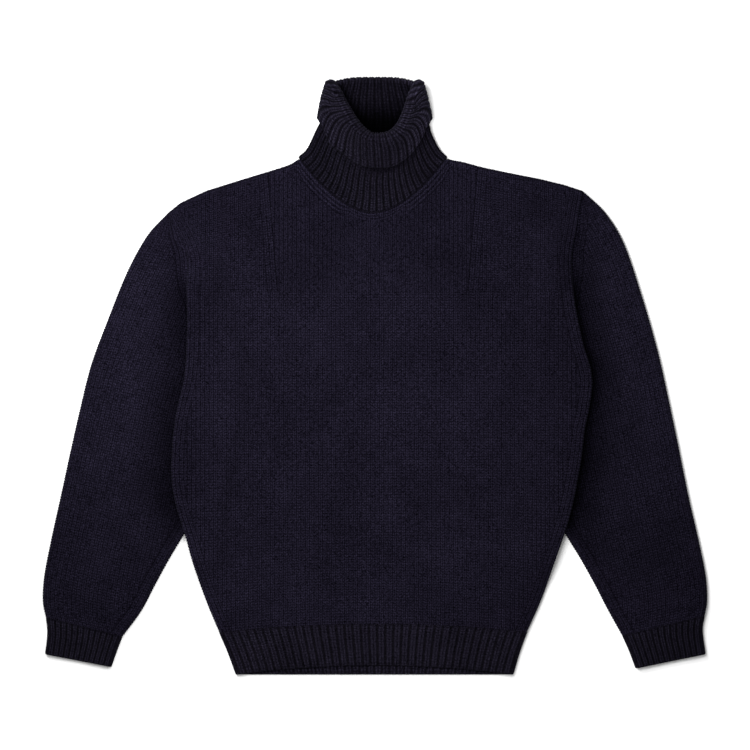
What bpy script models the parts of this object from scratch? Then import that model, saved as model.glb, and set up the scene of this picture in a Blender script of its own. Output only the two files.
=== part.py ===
# Turtleneck sweater of thick wool, laid flat on its back with its sleeves down its sides.
# Seen from above: +X is to the right, +Y is towards the collar, +Z is up off the surface.
# Lengths are in millimetres in the tables below and become metres when a solid is made.

from collections import namedtuple
from math import cos, radians, sin

import bmesh
import bpy
import numpy as np

MM = 0.001

# Cloth
CLOTH = 3.2                 # wall of the thick knit
SEAM = 0.3                  # clearance between linked pieces
EDGE_RADIUS = 5.0           # outer radius of a folded edge: half the two layers there
FLAT_THICKNESS = 8.0        # both layers in the middle of a panel, lying on each other
PUFF_REACH = 42.0           # how far in from an edge the layers are puffed up
RIB_HEIGHT = 1.2            # how far a rib stands above the groove beside it
INNER_RIB_HEIGHT = 0.9      # the same on the inside of the back's hem

# Body
PANEL_LINE_Y = 112.0        # lower edge of the shoulder panels
HEM_SEAM_Y = -330.0         # where the hem's ribs begin, at the middle
HEM_SEAM_DROP = 11.0        # and how much lower they begin at the sides
HEM_SEAM_HALF = 205.0       # half its width
FRONT_HEM_Y = -386.0        # lower edge of the front, at the middle
FRONT_HEM_DROP = 12.0
FRONT_HEM_HALF = 185.0
FRONT_HEM_BEND = 1.9
BACK_HEM_Y = -398.0
NECK_MIDDLE_X = -3.0
NECK_HALF_WIDTH = 98.0
NECK_POINT_Y = 287.5        # where shoulder and neckline meet
FRONT_NECK_Y = 215.5
BACK_NECK_Y = 272.0
NECKLINE_BEND = 1.8
BACK_NECKLINE_BEND = 2.5
HEM_RIBS = 37

# A body panel is a grid. Its columns run up the cloth at shares of the body's width
ARC = (0, 30, 60)                   # columns round a folded edge, in degrees
PANEL_COLUMNS = (0.231, 0.727)      # inner edges of the shoulder panels
NECK_COLUMNS = (0.306, 0.653)       # near the ends of the neckline
FRONT_COLUMNS = (5, 2, 15, 2, 5)    # how many lie between one of these lines and the next
BACK_COLUMNS = (5, 2, 7, 2, 5)
LEFT_LINE = (-129.7, -142.3)        # x of the left panel's inner edge at its foot and top
RIGHT_LINE = (123.6, 135.6)
LINE_TOP_Y = 270.0
LINE_FADE = 70.0                    # columns come over to these edges so far below the panels
LOW_ROWS = 12                       # rows below the shoulder panels' lower edge
HIGH_ROWS = 5                       # and above it, up to the shoulder's fold
FRONT_HEM_ROWS = 3
BACK_HEM_ROWS = 2

# Sleeves lie under the body's sides, so the sides rise over them
SLEEVE_TUCK = 41.0          # how far the underarm lies in from the body's edge
TUCK_TOP_Y = 152.0          # the armhole seam shows above this and dives under it below
TUCK_END_Y = -7.0
LIFT = 10.6                 # height of the body's underside over a sleeve
LIFT_FULL_Y = 156.0
LIFT_LAST_Y = -240.0
LIFT_END_Y = -292.0
LIFT_LEAD = 20.0            # the rise is done this far before the sleeve's hidden edge
LIFT_LEAVES_Y = -184.0      # below this the sleeve comes out from under the body
LIFT_LEAD_GROWTH = 0.6      # and the rise is done that much sooner for each millimetre down
LIFT_RAMP = 34.0
ROUND_START_Y = 192.0       # armhole edges are cut square above this and folded under below
ARMHOLE_FADE = 0.45         # the armhole's curve dies away so much from a section to the next
ARMHOLE_SECTIONS = 5
CUFF_RIBS = 12
CUFF_PLAIN = 0.045          # share of a cuff's width that is plain at each of its edges
CUFF_PUFF = 0.4

# Collar: a tube of rib, its upper part turned down outside
FRONT_RIBS = 23
BACK_RIBS = 11
SIDE_RIBS = 3
BACK_BEND_GROWTH = 1.5      # the back's edge is squarer at the top of the stand
FOLD_ANGLES = (36, 72, 108, 144)        # rows over the fold, in degrees
FLAP_ROWS = (0, 0.31, 0.67, 1)          # rows down the flap, as shares of its length
FLAP_LENGTH = 0.42                      # its length, as a share of the stand's height
FLAP_LONGEST = 0.13                     # and the most by which it is longer than that
FLAP_STANDS_OFF = 1.7                   # its front stands off the stand by so much more
FLAP_FOLD_STANDS_OFF = 3.3              # and by so much again at the fold
FLAP_RIBS = (0, 2.5, 5, 8, 11.5, 14, 16, 19, 21.5, 23, 25, 38, 40)     # at these ribs it is
FLAP_LONGER = (0.05, 0.13, 0.075, 0.05, -0.03, 0.01, 0.04, 0.08, 0.08, 0.05, 0, 0, 0.05)

SHARP_ANGLE = 50.0          # edges sharper than this are shaded as creases, in degrees

Edge = namedtuple("Edge", "y left right")
BODY_EDGES = [
    Edge(-400, -184.5, 183.5),
    Edge(-366, -197, 193.5),
    Edge(-343, -207, 202),
    Edge(-300, -225, 221),
    Edge(-246, -243.5, 240),
    Edge(-208, -254, 253),
    Edge(-176, -264, 262),
    Edge(-137, -270.5, 270),
    Edge(-100, -270, 276),
    Edge(-73, -268, 279),
    Edge(-43, -263, 285),
    Edge(-4, -254, 289),
    Edge(47, -250.5, 276),
    Edge(113, -250.5, 264),
    Edge(166, -251.5, 262.5),
    Edge(193, -263, 267),
    Edge(217, -275, 271),
    Edge(246, -276, 276),
    Edge(290, -276, 277),
]

Point = namedtuple("Point", "x y")
SHOULDER_LINE = [
    Point(-290, 205),
    Point(-275, 217),
    Point(-259, 230),
    Point(-225, 246),
    Point(-174, 262),
    Point(-123, 277.5),
    Point(-112, 280.5),
    Point(-101, 287.5),
    Point(95, 287.5),
    Point(119, 283.5),
    Point(143, 277.5),
    Point(178, 270),
    Point(219, 262),
    Point(252, 254),
    Point(276, 246),
    Point(290, 240),
]

# A row for each section, from the armhole to the cuff: its outer and inner edge
Section = namedtuple("Section", "outer_x outer_y inner_x inner_y")
LEFT_SLEEVE = [
    Section(-275, 217, -213, -7),
    Section(-303, 186, -216, -31),
    Section(-330, 137, -219, -60),
    Section(-357, 70, -222, -93),
    Section(-378, 13, -226, -126),
    Section(-393, -47, -231, -158),
    Section(-405, -100, -239, -184),
    Section(-418, -160, -253, -209),
    Section(-431, -219, -275, -246),
    Section(-440, -266, -293, -279),
    Section(-442, -299, -311, -313),
    Section(-438, -321, -336, -347),
]
RIGHT_SLEEVE = [
    Section(276, 246, 248, -7),
    Section(306, 217, 243, -31),
    Section(331, 176, 238, -60),
    Section(355, 106, 233, -93),
    Section(376, 33, 231, -126),
    Section(390, -29, 233, -157),
    Section(402, -86, 240, -184),
    Section(417, -160, 253, -210),
    Section(431, -221, 273, -243),
    Section(440, -266, 292, -277),
    Section(442, -299, 309, -310),
    Section(439, -319, 329, -346),
]
LEFT_CUFF = [
    Section(-438, -321, -336, -347),
    Section(-436, -343, -343, -365),
    Section(-439, -371, -351, -388),
]
RIGHT_CUFF = [
    Section(439, -319, 329, -346),
    Section(436, -339, 338, -366),
    Section(440, -371, 347, -390),
]

# A row for each height of the collar's stand, measured to the middle of its wall:
# how far round it is from the seam, its sides, its front, its back, and how sharply
# its front bends on the left and on the right
Ring = namedtuple(
    "Ring", "at left right side_y side_z front_y front_z back_y back_z bend_left bend_right"
)
COLLAR = [
    Ring(0.00, -101.1, 95.2, 289, 8.4, 216.2, 8.4, 272.8, 1.6, 1.8, 1.8),
    Ring(0.20, -89, 84, 300, 10, 236, 10.4, 296, 2.2, 1.7, 1.9),
    Ring(0.40, -78, 73, 322, 12.4, 257, 16.5, 321, 4.2, 1.55, 2.0),
    Ring(0.58, -70, 69, 340, 15.2, 275, 22, 342, 6.2, 1.45, 2.15),
    Ring(0.80, -62, 60.5, 363, 19.4, 296, 29.5, 367, 9.3, 1.48, 2.45),
    Ring(1.00, -53.5, 52.5, 382.5, 23.5, 314, 36, 389.8, 11.6, 1.64, 3.1),
]

# Rows up the stand, and whether its ribs show there on the outside
StandRow = namedtuple("StandRow", "at ribbed")
STAND_ROWS = [
    StandRow(0.00, 0),
    StandRow(0.05, 1),
    StandRow(0.20, 1),
    StandRow(0.36, 1),
    StandRow(0.50, 1),
    StandRow(0.60, 0),
    StandRow(0.80, 0),
    StandRow(1.00, 0),
]

# Soft folds in the front: where, which way, how long, how wide and how high
Fold = namedtuple("Fold", "x y angle length width height")
FRONT_FOLDS = [
    Fold(205, -62, 152, 92, 20, 2.6),
    Fold(-196, -88, 78, 118, 19, 2.3),
    Fold(-120, -215, 62, 96, 26, 1.9),
    Fold(118, -236, 112, 104, 28, 2.1),
    Fold(22, 64, 12, 120, 34, 1.7),
    Fold(-10, -300, 4, 120, 22, 1.6),
]
# The same in a sleeve, by its share from armhole to cuff and from outer to inner edge
SleeveFold = namedtuple("SleeveFold", "along across length width height")
SLEEVE_FOLDS = [
    SleeveFold(0.30, 0.30, 0.16, 0.14, 2.0),
    SleeveFold(0.52, 0.52, 0.10, 0.20, 2.4),
    SleeveFold(0.72, 0.35, 0.13, 0.16, 1.8),
    SleeveFold(0.93, 0.50, 0.05, 0.34, 2.6),
]


# ---- Curves and soft shapes ----

def curve_at(knots, values, at):
    """Smooth curve through the knots, read at a number or an array."""
    knots = np.asarray(knots, float)
    values = np.asarray(values, float)
    slope = np.gradient(values, knots)
    at = np.clip(at, knots[0], knots[-1])
    i = np.clip(np.searchsorted(knots, at, side="right") - 1, 0, len(knots) - 2)
    span = knots[i + 1] - knots[i]
    t = (at - knots[i]) / span
    return (
        (1 + 2 * t) * (1 - t) ** 2 * values[i]
        + t * (1 - t) ** 2 * span * slope[i]
        + t * t * (3 - 2 * t) * values[i + 1]
        + t * t * (t - 1) * span * slope[i + 1]
    )


def step(start, end, at):
    """0 at start, 1 at end, with a smooth rise between them."""
    t = np.clip((at - start) / (end - start), 0, 1)
    return t * t * (3 - 2 * t)


def bump(fold, x, y):
    """Height of a soft fold at a place."""
    turn = radians(fold.angle)
    along = (x - fold.x) * cos(turn) + (y - fold.y) * sin(turn)
    across = (y - fold.y) * cos(turn) - (x - fold.x) * sin(turn)
    return fold.height * np.exp(-((along / fold.length) ** 2) - (across / fold.width) ** 2)


# ---- Outline of the body ----

def left_edge(y):
    return curve_at([e.y for e in BODY_EDGES], [e.left for e in BODY_EDGES], y)


def right_edge(y):
    return curve_at([e.y for e in BODY_EDGES], [e.right for e in BODY_EDGES], y)


def shoulder_y(x):
    return np.interp(x, [p.x for p in SHOULDER_LINE], [p.y for p in SHOULDER_LINE])


def neckline_y(x, lowest, bend):
    share = abs(x - NECK_MIDDLE_X) / NECK_HALF_WIDTH
    return NECK_POINT_Y + (lowest - NECK_POINT_Y) * (1 - share ** bend)


def on_neckline(x):
    return abs(x - NECK_MIDDLE_X) < NECK_HALF_WIDTH - 0.5


def front_top(x):
    return neckline_y(x, FRONT_NECK_Y, NECKLINE_BEND) if on_neckline(x) else shoulder_y(x)


def back_top(x):
    return neckline_y(x, BACK_NECK_Y, BACK_NECKLINE_BEND) if on_neckline(x) else shoulder_y(x)


def hem_seam(x):
    return HEM_SEAM_Y - HEM_SEAM_DROP * (x / HEM_SEAM_HALF) ** 2


def front_hem(x):
    return FRONT_HEM_Y - FRONT_HEM_DROP * min(abs(x / FRONT_HEM_HALF), 1) ** FRONT_HEM_BEND


def back_hem(x):
    return BACK_HEM_Y


def sleeve_edge(rows, body_edge, side, y):
    """Inner edge of a sleeve at y: beside the armhole at its top, hidden under the body below."""
    hidden = curve_at([-r.inner_y for r in rows], [r.inner_x for r in rows], -y)
    tuck = SLEEVE_TUCK * step(TUCK_TOP_Y, TUCK_END_Y, y)
    beside = body_edge(y) + side * (SEAM - tuck)
    return np.where(y > TUCK_END_Y, beside, hidden)


def lift(x, y):
    """Height of the body's underside, where its sides rise over the sleeves."""
    low = step(LIFT_END_Y, LIFT_LAST_Y, y)
    left = step(LEFT_SLEEVE[0].outer_y, LIFT_FULL_Y, y) * low
    right = step(RIGHT_SLEEVE[0].outer_y, LIFT_FULL_Y, y) * low
    lead = LIFT_LEAD + LIFT_LEAD_GROWTH * np.maximum(0, LIFT_LEAVES_Y - y)
    left_x = sleeve_edge(LEFT_SLEEVE, left_edge, -1, y) + lead
    right_x = sleeve_edge(RIGHT_SLEEVE, right_edge, 1, y) - lead
    left = left * step(left_x + LIFT_RAMP, left_x, x)
    right = right * step(right_x - LIFT_RAMP, right_x, x)
    return LIFT * np.maximum(left, right)


# ---- Panels of the body ----

def columns(breaks, counts):
    """Columns of a panel: a share of its width, and how far each is from a folded edge."""
    shares = []
    for start, end, count in zip(breaks[:-1], breaks[1:], counts):
        shares += [start + (end - start) * i / count for i in range(count)]
    shares.append(breaks[-1])
    inset = [EDGE_RADIUS * (1 - cos(radians(a))) for a in ARC]
    left = [(0.0, e) for e in inset]
    right = [(1.0, -e) for e in reversed(inset)]
    return left + [(s, EDGE_RADIUS * (1 - 2 * s)) for s in shares] + right


def column_x(column, y):
    share, inset = column
    left = left_edge(y)
    width = right_edge(y) - left
    up = (y - PANEL_LINE_Y) / (LINE_TOP_Y - PANEL_LINE_Y)
    over = [0.0, 0.0, 0.0, 0.0]
    for i, line in enumerate((LEFT_LINE, RIGHT_LINE)):
        straight = line[0] + (line[1] - line[0]) * up
        over[i + 1] = straight - (left + width * PANEL_COLUMNS[i])
    moved = np.interp(share, (0.0, *PANEL_COLUMNS, 1.0), over)
    return left + width * share + inset + moved * step(PANEL_LINE_Y - LINE_FADE, PANEL_LINE_Y, y)


def column_end(column, line):
    """Where a column meets the line that ends the panel."""
    y = line(0.0)
    for _ in range(40):
        y = 0.5 * (y + line(column_x(column, y)))
    return y


def body_grid(cols, bottom, top, low_rows, high_rows):
    """Plan points of a panel, and how far it has turned over at its sides and shoulders."""
    rows = []
    for column in cols:
        y0 = column_end(column, bottom)
        y1 = column_end(column, top)
        if high_rows:
            ys = list(np.linspace(y0, PANEL_LINE_Y, low_rows + 1))
            ys += list(np.linspace(PANEL_LINE_Y, y1 - EDGE_RADIUS, high_rows + 1))[1:]
            ys += [y1 - EDGE_RADIUS * (1 - cos(radians(a))) for a in reversed(ARC)]
        else:
            ys = list(np.linspace(y0, y1, low_rows + 1))
        rows.append([(column_x(column, y), y, y1) for y in ys])
    grid = np.array(rows).transpose(1, 0, 2)
    return grid[:, :, 0], grid[:, :, 1], grid[:, :, 2]


def panel(cols, bottom, top, low_rows, high_rows, folds, is_front, ribs=0):
    """Outer and inner points of a panel of the body, as two grids."""
    x, y, end = body_grid(cols, bottom, top, low_rows, high_rows)
    from_left = x - left_edge(y)
    from_right = right_edge(y) - x
    beside = np.minimum(from_left, from_right)
    side = np.where(from_left < from_right, -1.0, 1.0)
    turned = step(ROUND_START_Y, LIFT_FULL_Y, y)
    cos_side = np.clip(1 - beside / EDGE_RADIUS, 0, 1) * turned
    shoulder = np.array([not on_neckline(column_x(c, LINE_TOP_Y)) for c in cols])
    below = end - y
    cos_top = np.clip(1 - below / EDGE_RADIUS, 0, 1) * shoulder * bool(high_rows)
    round_side = np.sqrt(1 - cos_side ** 2)
    round_top = np.sqrt(1 - cos_top ** 2)
    rise = round_side * round_top
    near = np.exp(-(beside / PUFF_REACH) ** 2)
    if high_rows:
        near = np.maximum(near, np.exp(-(below / PUFF_REACH) ** 2))
    thickness = FLAT_THICKNESS + (2 * EDGE_RADIUS - FLAT_THICKNESS) * near
    for fold in folds:
        thickness = thickness + bump(fold, x, y) * (1 - near)
    base = lift(x, y)
    slant = np.gradient(x, axis=0) / np.gradient(y, axis=0)
    normal = np.dstack([side * cos_side + slant * cos_top, cos_top, rise])
    normal /= np.hypot(np.hypot(cos_side, cos_top), rise)[:, :, None]
    if is_front:
        z = base + EDGE_RADIUS + (thickness - EDGE_RADIUS) * rise + SEAM / 2 * (1 - rise)
    else:
        z = base + (EDGE_RADIUS - SEAM / 2) * (1 - rise)
        normal[:, :, 2] *= -1
    outer = np.dstack([x, y, z])
    inner = outer - normal * CLOTH
    crest = rib_pattern(len(cols), ribs, len(ARC))
    if is_front:
        outer = outer + normal * RIB_HEIGHT * crest[None, :, None]
    elif ribs:
        inner = inner - normal * INNER_RIB_HEIGHT * crest[None, :, None]
    return outer, inner


def rib_pattern(count, ribs, skip):
    """1 on the crest of each rib and 0 in each groove, over a run of columns."""
    crest = np.zeros(count)
    if ribs:
        crest[skip + 1:count - skip:2] = 1
    return crest


# ---- Sleeves and cuffs ----

HALF_ROUND = range(-90, 91, 30)     # steps round a folded edge of a tube, in degrees


def armhole_shares(rows, column):
    """Where the rows of the body meet a sleeve, as shares of the armhole's length."""
    grid_y = body_grid([column], front_seam, front_top, LOW_ROWS, HIGH_ROWS)[1][:, 0]
    top = rows[0].outer_y
    length = top - rows[0].inner_y
    first = EDGE_RADIUS / length
    shares = [(top - y) / length for y in grid_y]
    return sorted(share for share in shares if first * 1.01 < share < 1 - 4 * first)


def armhole_offset(rows, body_edge, side, share):
    """From the straight line across the armhole to the armhole's own curve."""
    top = rows[0]
    x = top.outer_x + (top.inner_x - top.outer_x) * share
    y = top.outer_y + (top.inner_y - top.outer_y) * share
    return np.array([sleeve_edge(rows, body_edge, side, y) - x, 0.0])


def tube_ring(section, shares, top_height, curve):
    """One ring round a flattened tube: its outer points, and those a wall inside them."""
    start = np.array([section.outer_x, section.outer_y])
    end = np.array([section.inner_x, section.inner_y])
    width = np.linalg.norm(end - start)
    along = (end - start) / width
    hole = EDGE_RADIUS - CLOTH

    def place(distance, height):
        plan = start + along * distance + curve(distance / width)
        return (plan[0], plan[1], height)

    outer = []
    inner = []
    for angle in HALF_ROUND:
        c = cos(radians(angle))
        s = sin(radians(angle))
        outer.append(place(EDGE_RADIUS * (1 - c), EDGE_RADIUS * (1 + s)))
        inner.append(place(EDGE_RADIUS - hole * c, EDGE_RADIUS + hole * s))
    for share in shares:
        outer.append(place(share * width, top_height(share, width)))
        inner.append(place(share * width, top_height(share, width) - CLOTH))
    for angle in reversed(HALF_ROUND):
        c = cos(radians(angle))
        s = sin(radians(angle))
        outer.append(place(width - EDGE_RADIUS * (1 - c), EDGE_RADIUS * (1 + s)))
        inner.append(place(width - EDGE_RADIUS + hole * c, EDGE_RADIUS + hole * s))
    for share in reversed(shares):
        outer.append(place(share * width, 0.0))
        inner.append(place(share * width, CLOTH))
    return outer, inner


def layers_height(share, width, puff, folds=(), along=0.0):
    """Height of a tube's upper layer across its width."""
    edge = min(share, 1 - share) * width
    near = max(np.exp(-(edge / PUFF_REACH) ** 2), puff)
    height = FLAT_THICKNESS + (2 * EDGE_RADIUS - FLAT_THICKNESS) * near
    for fold in folds:
        far = ((along - fold.along) / fold.length) ** 2 + ((share - fold.across) / fold.width) ** 2
        height += fold.height * np.exp(-far) * (1 - near)
    return height


def sleeve(rows, body_edge, side, column):
    """A sleeve as two grids, a row for each section."""
    shares = armhole_shares(rows, column)
    outer = []
    inner = []
    for i, section in enumerate(rows):
        fade = ARMHOLE_FADE ** i if i < ARMHOLE_SECTIONS else 0.0
        along = i / (len(rows) - 1)

        def curve(share, fade=fade):
            return armhole_offset(rows, body_edge, side, share) * fade

        def top_height(share, width, fade=fade, along=along):
            return layers_height(share, width, fade, SLEEVE_FOLDS, along)

        ring = tube_ring(section, shares, top_height, curve)
        outer.append(ring[0])
        inner.append(ring[1])
    return np.array(outer), np.array(inner)


def cuff(rows):
    """A cuff as two grids, its ribs raised on the layer that faces up."""
    first = rows[0]
    second = rows[1]
    gap = SEAM / np.hypot(second.outer_x - first.outer_x, second.outer_y - first.outer_y)
    top = Section(*[a + (b - a) * gap for a, b in zip(first, second)])
    shares = list(np.linspace(CUFF_PLAIN, 1 - CUFF_PLAIN, 2 * CUFF_RIBS + 1))
    outer = []
    inner = []
    for section in [top] + rows[1:]:
        ring = tube_ring(
            section, shares, lambda s, w: layers_height(s, w, CUFF_PUFF), lambda s: 0.0
        )
        outer.append(ring[0])
        inner.append(ring[1])
    outer = np.array(outer)
    first_rib = len(HALF_ROUND) + 1
    outer[:, first_rib:first_rib + 2 * CUFF_RIBS:2, 2] += RIB_HEIGHT
    return outer, np.array(inner)


# ---- Collar ----

FRONT_STEPS = 2 * FRONT_RIBS
BACK_STEPS = 2 * BACK_RIBS
SIDE_STEPS = 2 * SIDE_RIBS
RUN_POINTS = 81             # points along a smooth run, before it is split into equal steps
FRAME_STEP = 0.02           # share of the height over which the wall's slope is read


def spread(points, count):
    """The same line, as count equal steps."""
    reach = np.linalg.norm(np.diff(points, axis=0), axis=1)
    reach = np.concatenate([[0], np.cumsum(reach)])
    at = np.linspace(0, reach[-1], count + 1)
    return np.column_stack([np.interp(at, reach, points[:, k]) for k in range(3)])


def stand_ring(at):
    """Points round the collar's stand at a share of its height: front, side, back, side."""
    heights = [r.at for r in COLLAR]
    ring = Ring(*[curve_at(heights, [r[k] for r in COLLAR], at) for k in range(len(Ring._fields))])
    middle = (ring.left + ring.right) / 2
    half = (ring.right - ring.left) / 2
    radius = (ring.side_z - ring.back_z) / 2
    back_bend = BACK_NECKLINE_BEND + BACK_BEND_GROWTH * at

    def front(x):
        bend = np.where(x < 0, ring.bend_left, ring.bend_right)
        y = ring.front_y + (ring.side_y - ring.front_y) * np.abs(x / half) ** bend
        u = np.clip(np.abs(x) / (half - radius), 0, 1)
        return y, ring.front_z + (ring.side_z - ring.front_z) * u ** 2

    def back(x):
        return ring.back_y + (ring.side_y - ring.back_y) * np.abs(x / half) ** back_bend

    run = np.linspace(-1, 1, RUN_POINTS) * (half - radius)
    angles = np.radians(np.linspace(90, -90, SIDE_STEPS + 1))
    arc_x = half - radius + radius * np.cos(angles)
    arc_z = ring.back_z + radius * (1 + np.sin(angles))
    arc_y = np.where(angles > 0, front(arc_x)[0], back(arc_x))
    left_y = np.where(angles > 0, front(-arc_x)[0], back(-arc_x))
    front_run = spread(np.column_stack([run, *front(run)]), FRONT_STEPS)
    right_arc = np.column_stack([arc_x, arc_y, arc_z])
    back_run = np.column_stack([run[::-1], back(run[::-1]), np.full(RUN_POINTS, ring.back_z)])
    back_run = spread(back_run, BACK_STEPS)
    left_arc = np.column_stack([-arc_x, left_y, arc_z])[::-1]
    loop = np.vstack([front_run[:-1], right_arc[:-1], back_run[:-1], left_arc[:-1]])
    return loop + np.array([middle, 0, 0]), ring


def unit(vectors):
    return vectors / np.linalg.norm(vectors, axis=-1, keepdims=True)


def stand_frame(at):
    """The stand's points, the way out of the tube, and the way on over its top edge."""
    points, ring = stand_ring(at)
    around = unit(np.roll(points, -1, axis=0) - np.roll(points, 1, axis=0))
    above = stand_ring(min(at + FRAME_STEP, 1))[0]
    up = unit(above - stand_ring(max(at - FRAME_STEP, 0))[0])
    out = unit(np.cross(around, up))
    gap = ring.back_z - CLOTH / 2
    upper = np.clip((points[:, 2] - ring.back_z) / (ring.front_z - ring.back_z), 0, 1)
    off = FLAP_STANDS_OFF + FLAP_FOLD_STANDS_OFF * step(0.5, 1, at)
    gap = (gap + off * np.sqrt(upper))[:, None]
    return points, out, np.cross(out, around), gap


def flap_frame(down):
    """The same under the flap, whose length differs round the tube."""
    high = stand_frame(1 - down * FLAP_LENGTH)
    low = stand_frame(1 - down * (FLAP_LENGTH + FLAP_LONGEST))
    ribs = np.arange(len(high[0])) / 2
    share = np.interp(ribs, FLAP_RIBS, FLAP_LONGER)[:, None] / FLAP_LONGEST
    return [a + (b - a) * share for a, b in zip(high, low)]


def collar():
    """The collar's wall as two grids: up the stand, over the fold and down outside."""
    count = FRONT_STEPS + BACK_STEPS + 2 * SIDE_STEPS
    crest = np.arange(count) % 2
    on_back = np.zeros(count)
    upper_side = SIDE_STEPS * 3 // 4
    on_back[FRONT_STEPS + upper_side:count - upper_side] = 1
    faces_up = crest * (1 - on_back)
    faces_down = crest * on_back
    rows = []
    for at, ribbed in STAND_ROWS:
        points, out, _, _ = stand_frame(at)
        inside = faces_down * step(0.3, 0.5, at) + faces_up * step(0.95, 1, at)
        rows.append((points, out, faces_up * ribbed, inside))
    points, out, over, gap = stand_frame(1.0)
    centre = points + out * gap / 2
    for angle in FOLD_ANGLES:
        c = cos(radians(angle))
        s = sin(radians(angle))
        crests = crest if angle < 90 else faces_up
        rows.append((centre + (over * s - out * c) * gap / 2, out * c - over * s, 0 * crest, crests))
    for down in FLAP_ROWS:
        points, out, _, gap = flap_frame(down)
        rows.append((points + out * gap, -out, 0 * crest, faces_up))
    outer = []
    inner = []
    for points, out, outside, inside in rows:
        outer.append(points + out * (CLOTH / 2 + RIB_HEIGHT * outside)[:, None])
        inner.append(points - out * (CLOTH / 2 + RIB_HEIGHT * inside)[:, None])
    return np.array(outer), np.array(inner)


# ---- Solids ----

def wool(name, roughness):
    material = bpy.data.materials.new(name)
    material.use_nodes = True
    shader = material.node_tree.nodes["Principled BSDF"]
    shader.inputs["Base Color"].default_value = (0.012, 0.011, 0.026, 1)
    shader.inputs["Roughness"].default_value = roughness
    shader.inputs["Metallic"].default_value = 0.0
    return material


def wall(name, grids, closed, material, collection, kept=None):
    """A wall lofted through an outer and an inner grid, open or closed round its columns.

    Only the cells that kept marks are built, so a panel can leave room for another.
    """
    rows, cols = grids[0].shape[:2]
    steps = cols if closed else cols - 1
    if kept is None:
        kept = np.ones((rows - 1, steps), bool)
    mesh = bmesh.new()
    corners = {}

    def corner(layer, r, c):
        key = (layer, r, c % cols)
        if key not in corners:
            corners[key] = mesh.verts.new(grids[layer][r, c % cols] * MM)
        return corners[key]

    def filled(r, c):
        if closed:
            c %= cols
        return 0 <= r < rows - 1 and 0 <= c < steps and kept[r, c]

    for r in range(rows - 1):
        for c in range(steps):
            if not filled(r, c):
                continue
            ring = [(r, c), (r, c + 1), (r + 1, c + 1), (r + 1, c)]
            beyond = [(r - 1, c), (r, c + 1), (r + 1, c), (r, c - 1)]
            mesh.faces.new([corner(0, *at) for at in ring])
            mesh.faces.new([corner(1, *at) for at in reversed(ring)])
            for k in range(4):
                if not filled(*beyond[k]):
                    a, b = ring[k], ring[(k + 1) % 4]
                    mesh.faces.new((corner(0, *b), corner(0, *a), corner(1, *a), corner(1, *b)))
    bmesh.ops.recalc_face_normals(mesh, faces=mesh.faces)
    data = bpy.data.meshes.new(name)
    mesh.to_mesh(data)
    mesh.free()
    data.materials.append(material)
    data.shade_smooth()
    data.set_sharp_from_angle(angle=radians(SHARP_ANGLE))
    piece = bpy.data.objects.new(name, data)
    collection.objects.link(piece)
    return piece


def front_seam(x):
    return hem_seam(x) + SEAM / 2


def hem_top(x):
    return hem_seam(x) - SEAM / 2


def cut_panel(grids, rows, cols, gap_side, gap_low):
    """Part of a panel's grids, drawn back from its neighbours by the seam."""
    parts = []
    for grid in grids:
        part = grid[rows, cols].copy()
        part[:, gap_side[0], 0] += gap_side[1]
        part[0, :, 1] += gap_low
        parts.append(part)
    return parts


def build():
    for thing in list(bpy.data.objects):
        bpy.data.objects.remove(thing)
    collection = bpy.data.collections.new("turtleneck_sweater")
    bpy.context.scene.collection.children.link(collection)
    plain = wool("navy wool, plain knit", 0.95)
    fine = wool("navy wool, finer knit", 0.93)
    rib = wool("navy wool, rib", 0.95)

    breaks = (0, PANEL_COLUMNS[0], NECK_COLUMNS[0], NECK_COLUMNS[1], PANEL_COLUMNS[1], 1)
    front_cols = columns(breaks, FRONT_COLUMNS)
    grids = panel(front_cols, front_seam, front_top, LOW_ROWS, HIGH_ROWS, FRONT_FOLDS, True)
    left_line = len(ARC) + FRONT_COLUMNS[0]
    right_line = left_line + sum(FRONT_COLUMNS[1:-1])
    upper = slice(LOW_ROWS, None)
    left_part = cut_panel(grids, upper, slice(0, left_line + 1), (-1, -SEAM), SEAM)
    right_part = cut_panel(grids, upper, slice(right_line, None), (0, SEAM), SEAM)
    wall("shoulder_patch_left", left_part, False, fine, collection)
    wall("shoulder_patch_right", right_part, False, fine, collection)
    rest = np.ones((grids[0].shape[0] - 1, grids[0].shape[1] - 1), bool)
    rest[upper, :left_line] = False
    rest[upper, right_line:] = False
    wall("front", grids, False, plain, collection, rest)

    back_cols = columns(breaks, BACK_COLUMNS)
    grids = panel(back_cols, front_seam, back_top, LOW_ROWS, HIGH_ROWS, (), False)
    wall("back", grids, False, plain, collection)

    rib_cols = columns((0, 1), (2 * HEM_RIBS,))
    grids = panel(rib_cols, front_hem, hem_top, FRONT_HEM_ROWS, 0, (), True, HEM_RIBS)
    wall("hem_rib_front", grids, False, rib, collection)
    grids = panel(rib_cols, back_hem, hem_top, BACK_HEM_ROWS, 0, (), False, HEM_RIBS)
    wall("hem_rib_back", grids, False, rib, collection)

    left = sleeve(LEFT_SLEEVE, left_edge, -1, front_cols[0])
    right = sleeve(RIGHT_SLEEVE, right_edge, 1, front_cols[-1])
    wall("sleeve_left", left, True, plain, collection)
    wall("sleeve_right", right, True, plain, collection)
    wall("cuff_left", cuff(LEFT_CUFF), True, rib, collection)
    wall("cuff_right", cuff(RIGHT_CUFF), True, rib, collection)
    wall("collar", collar(), True, rib, collection)


build()
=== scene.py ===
import math

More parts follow.
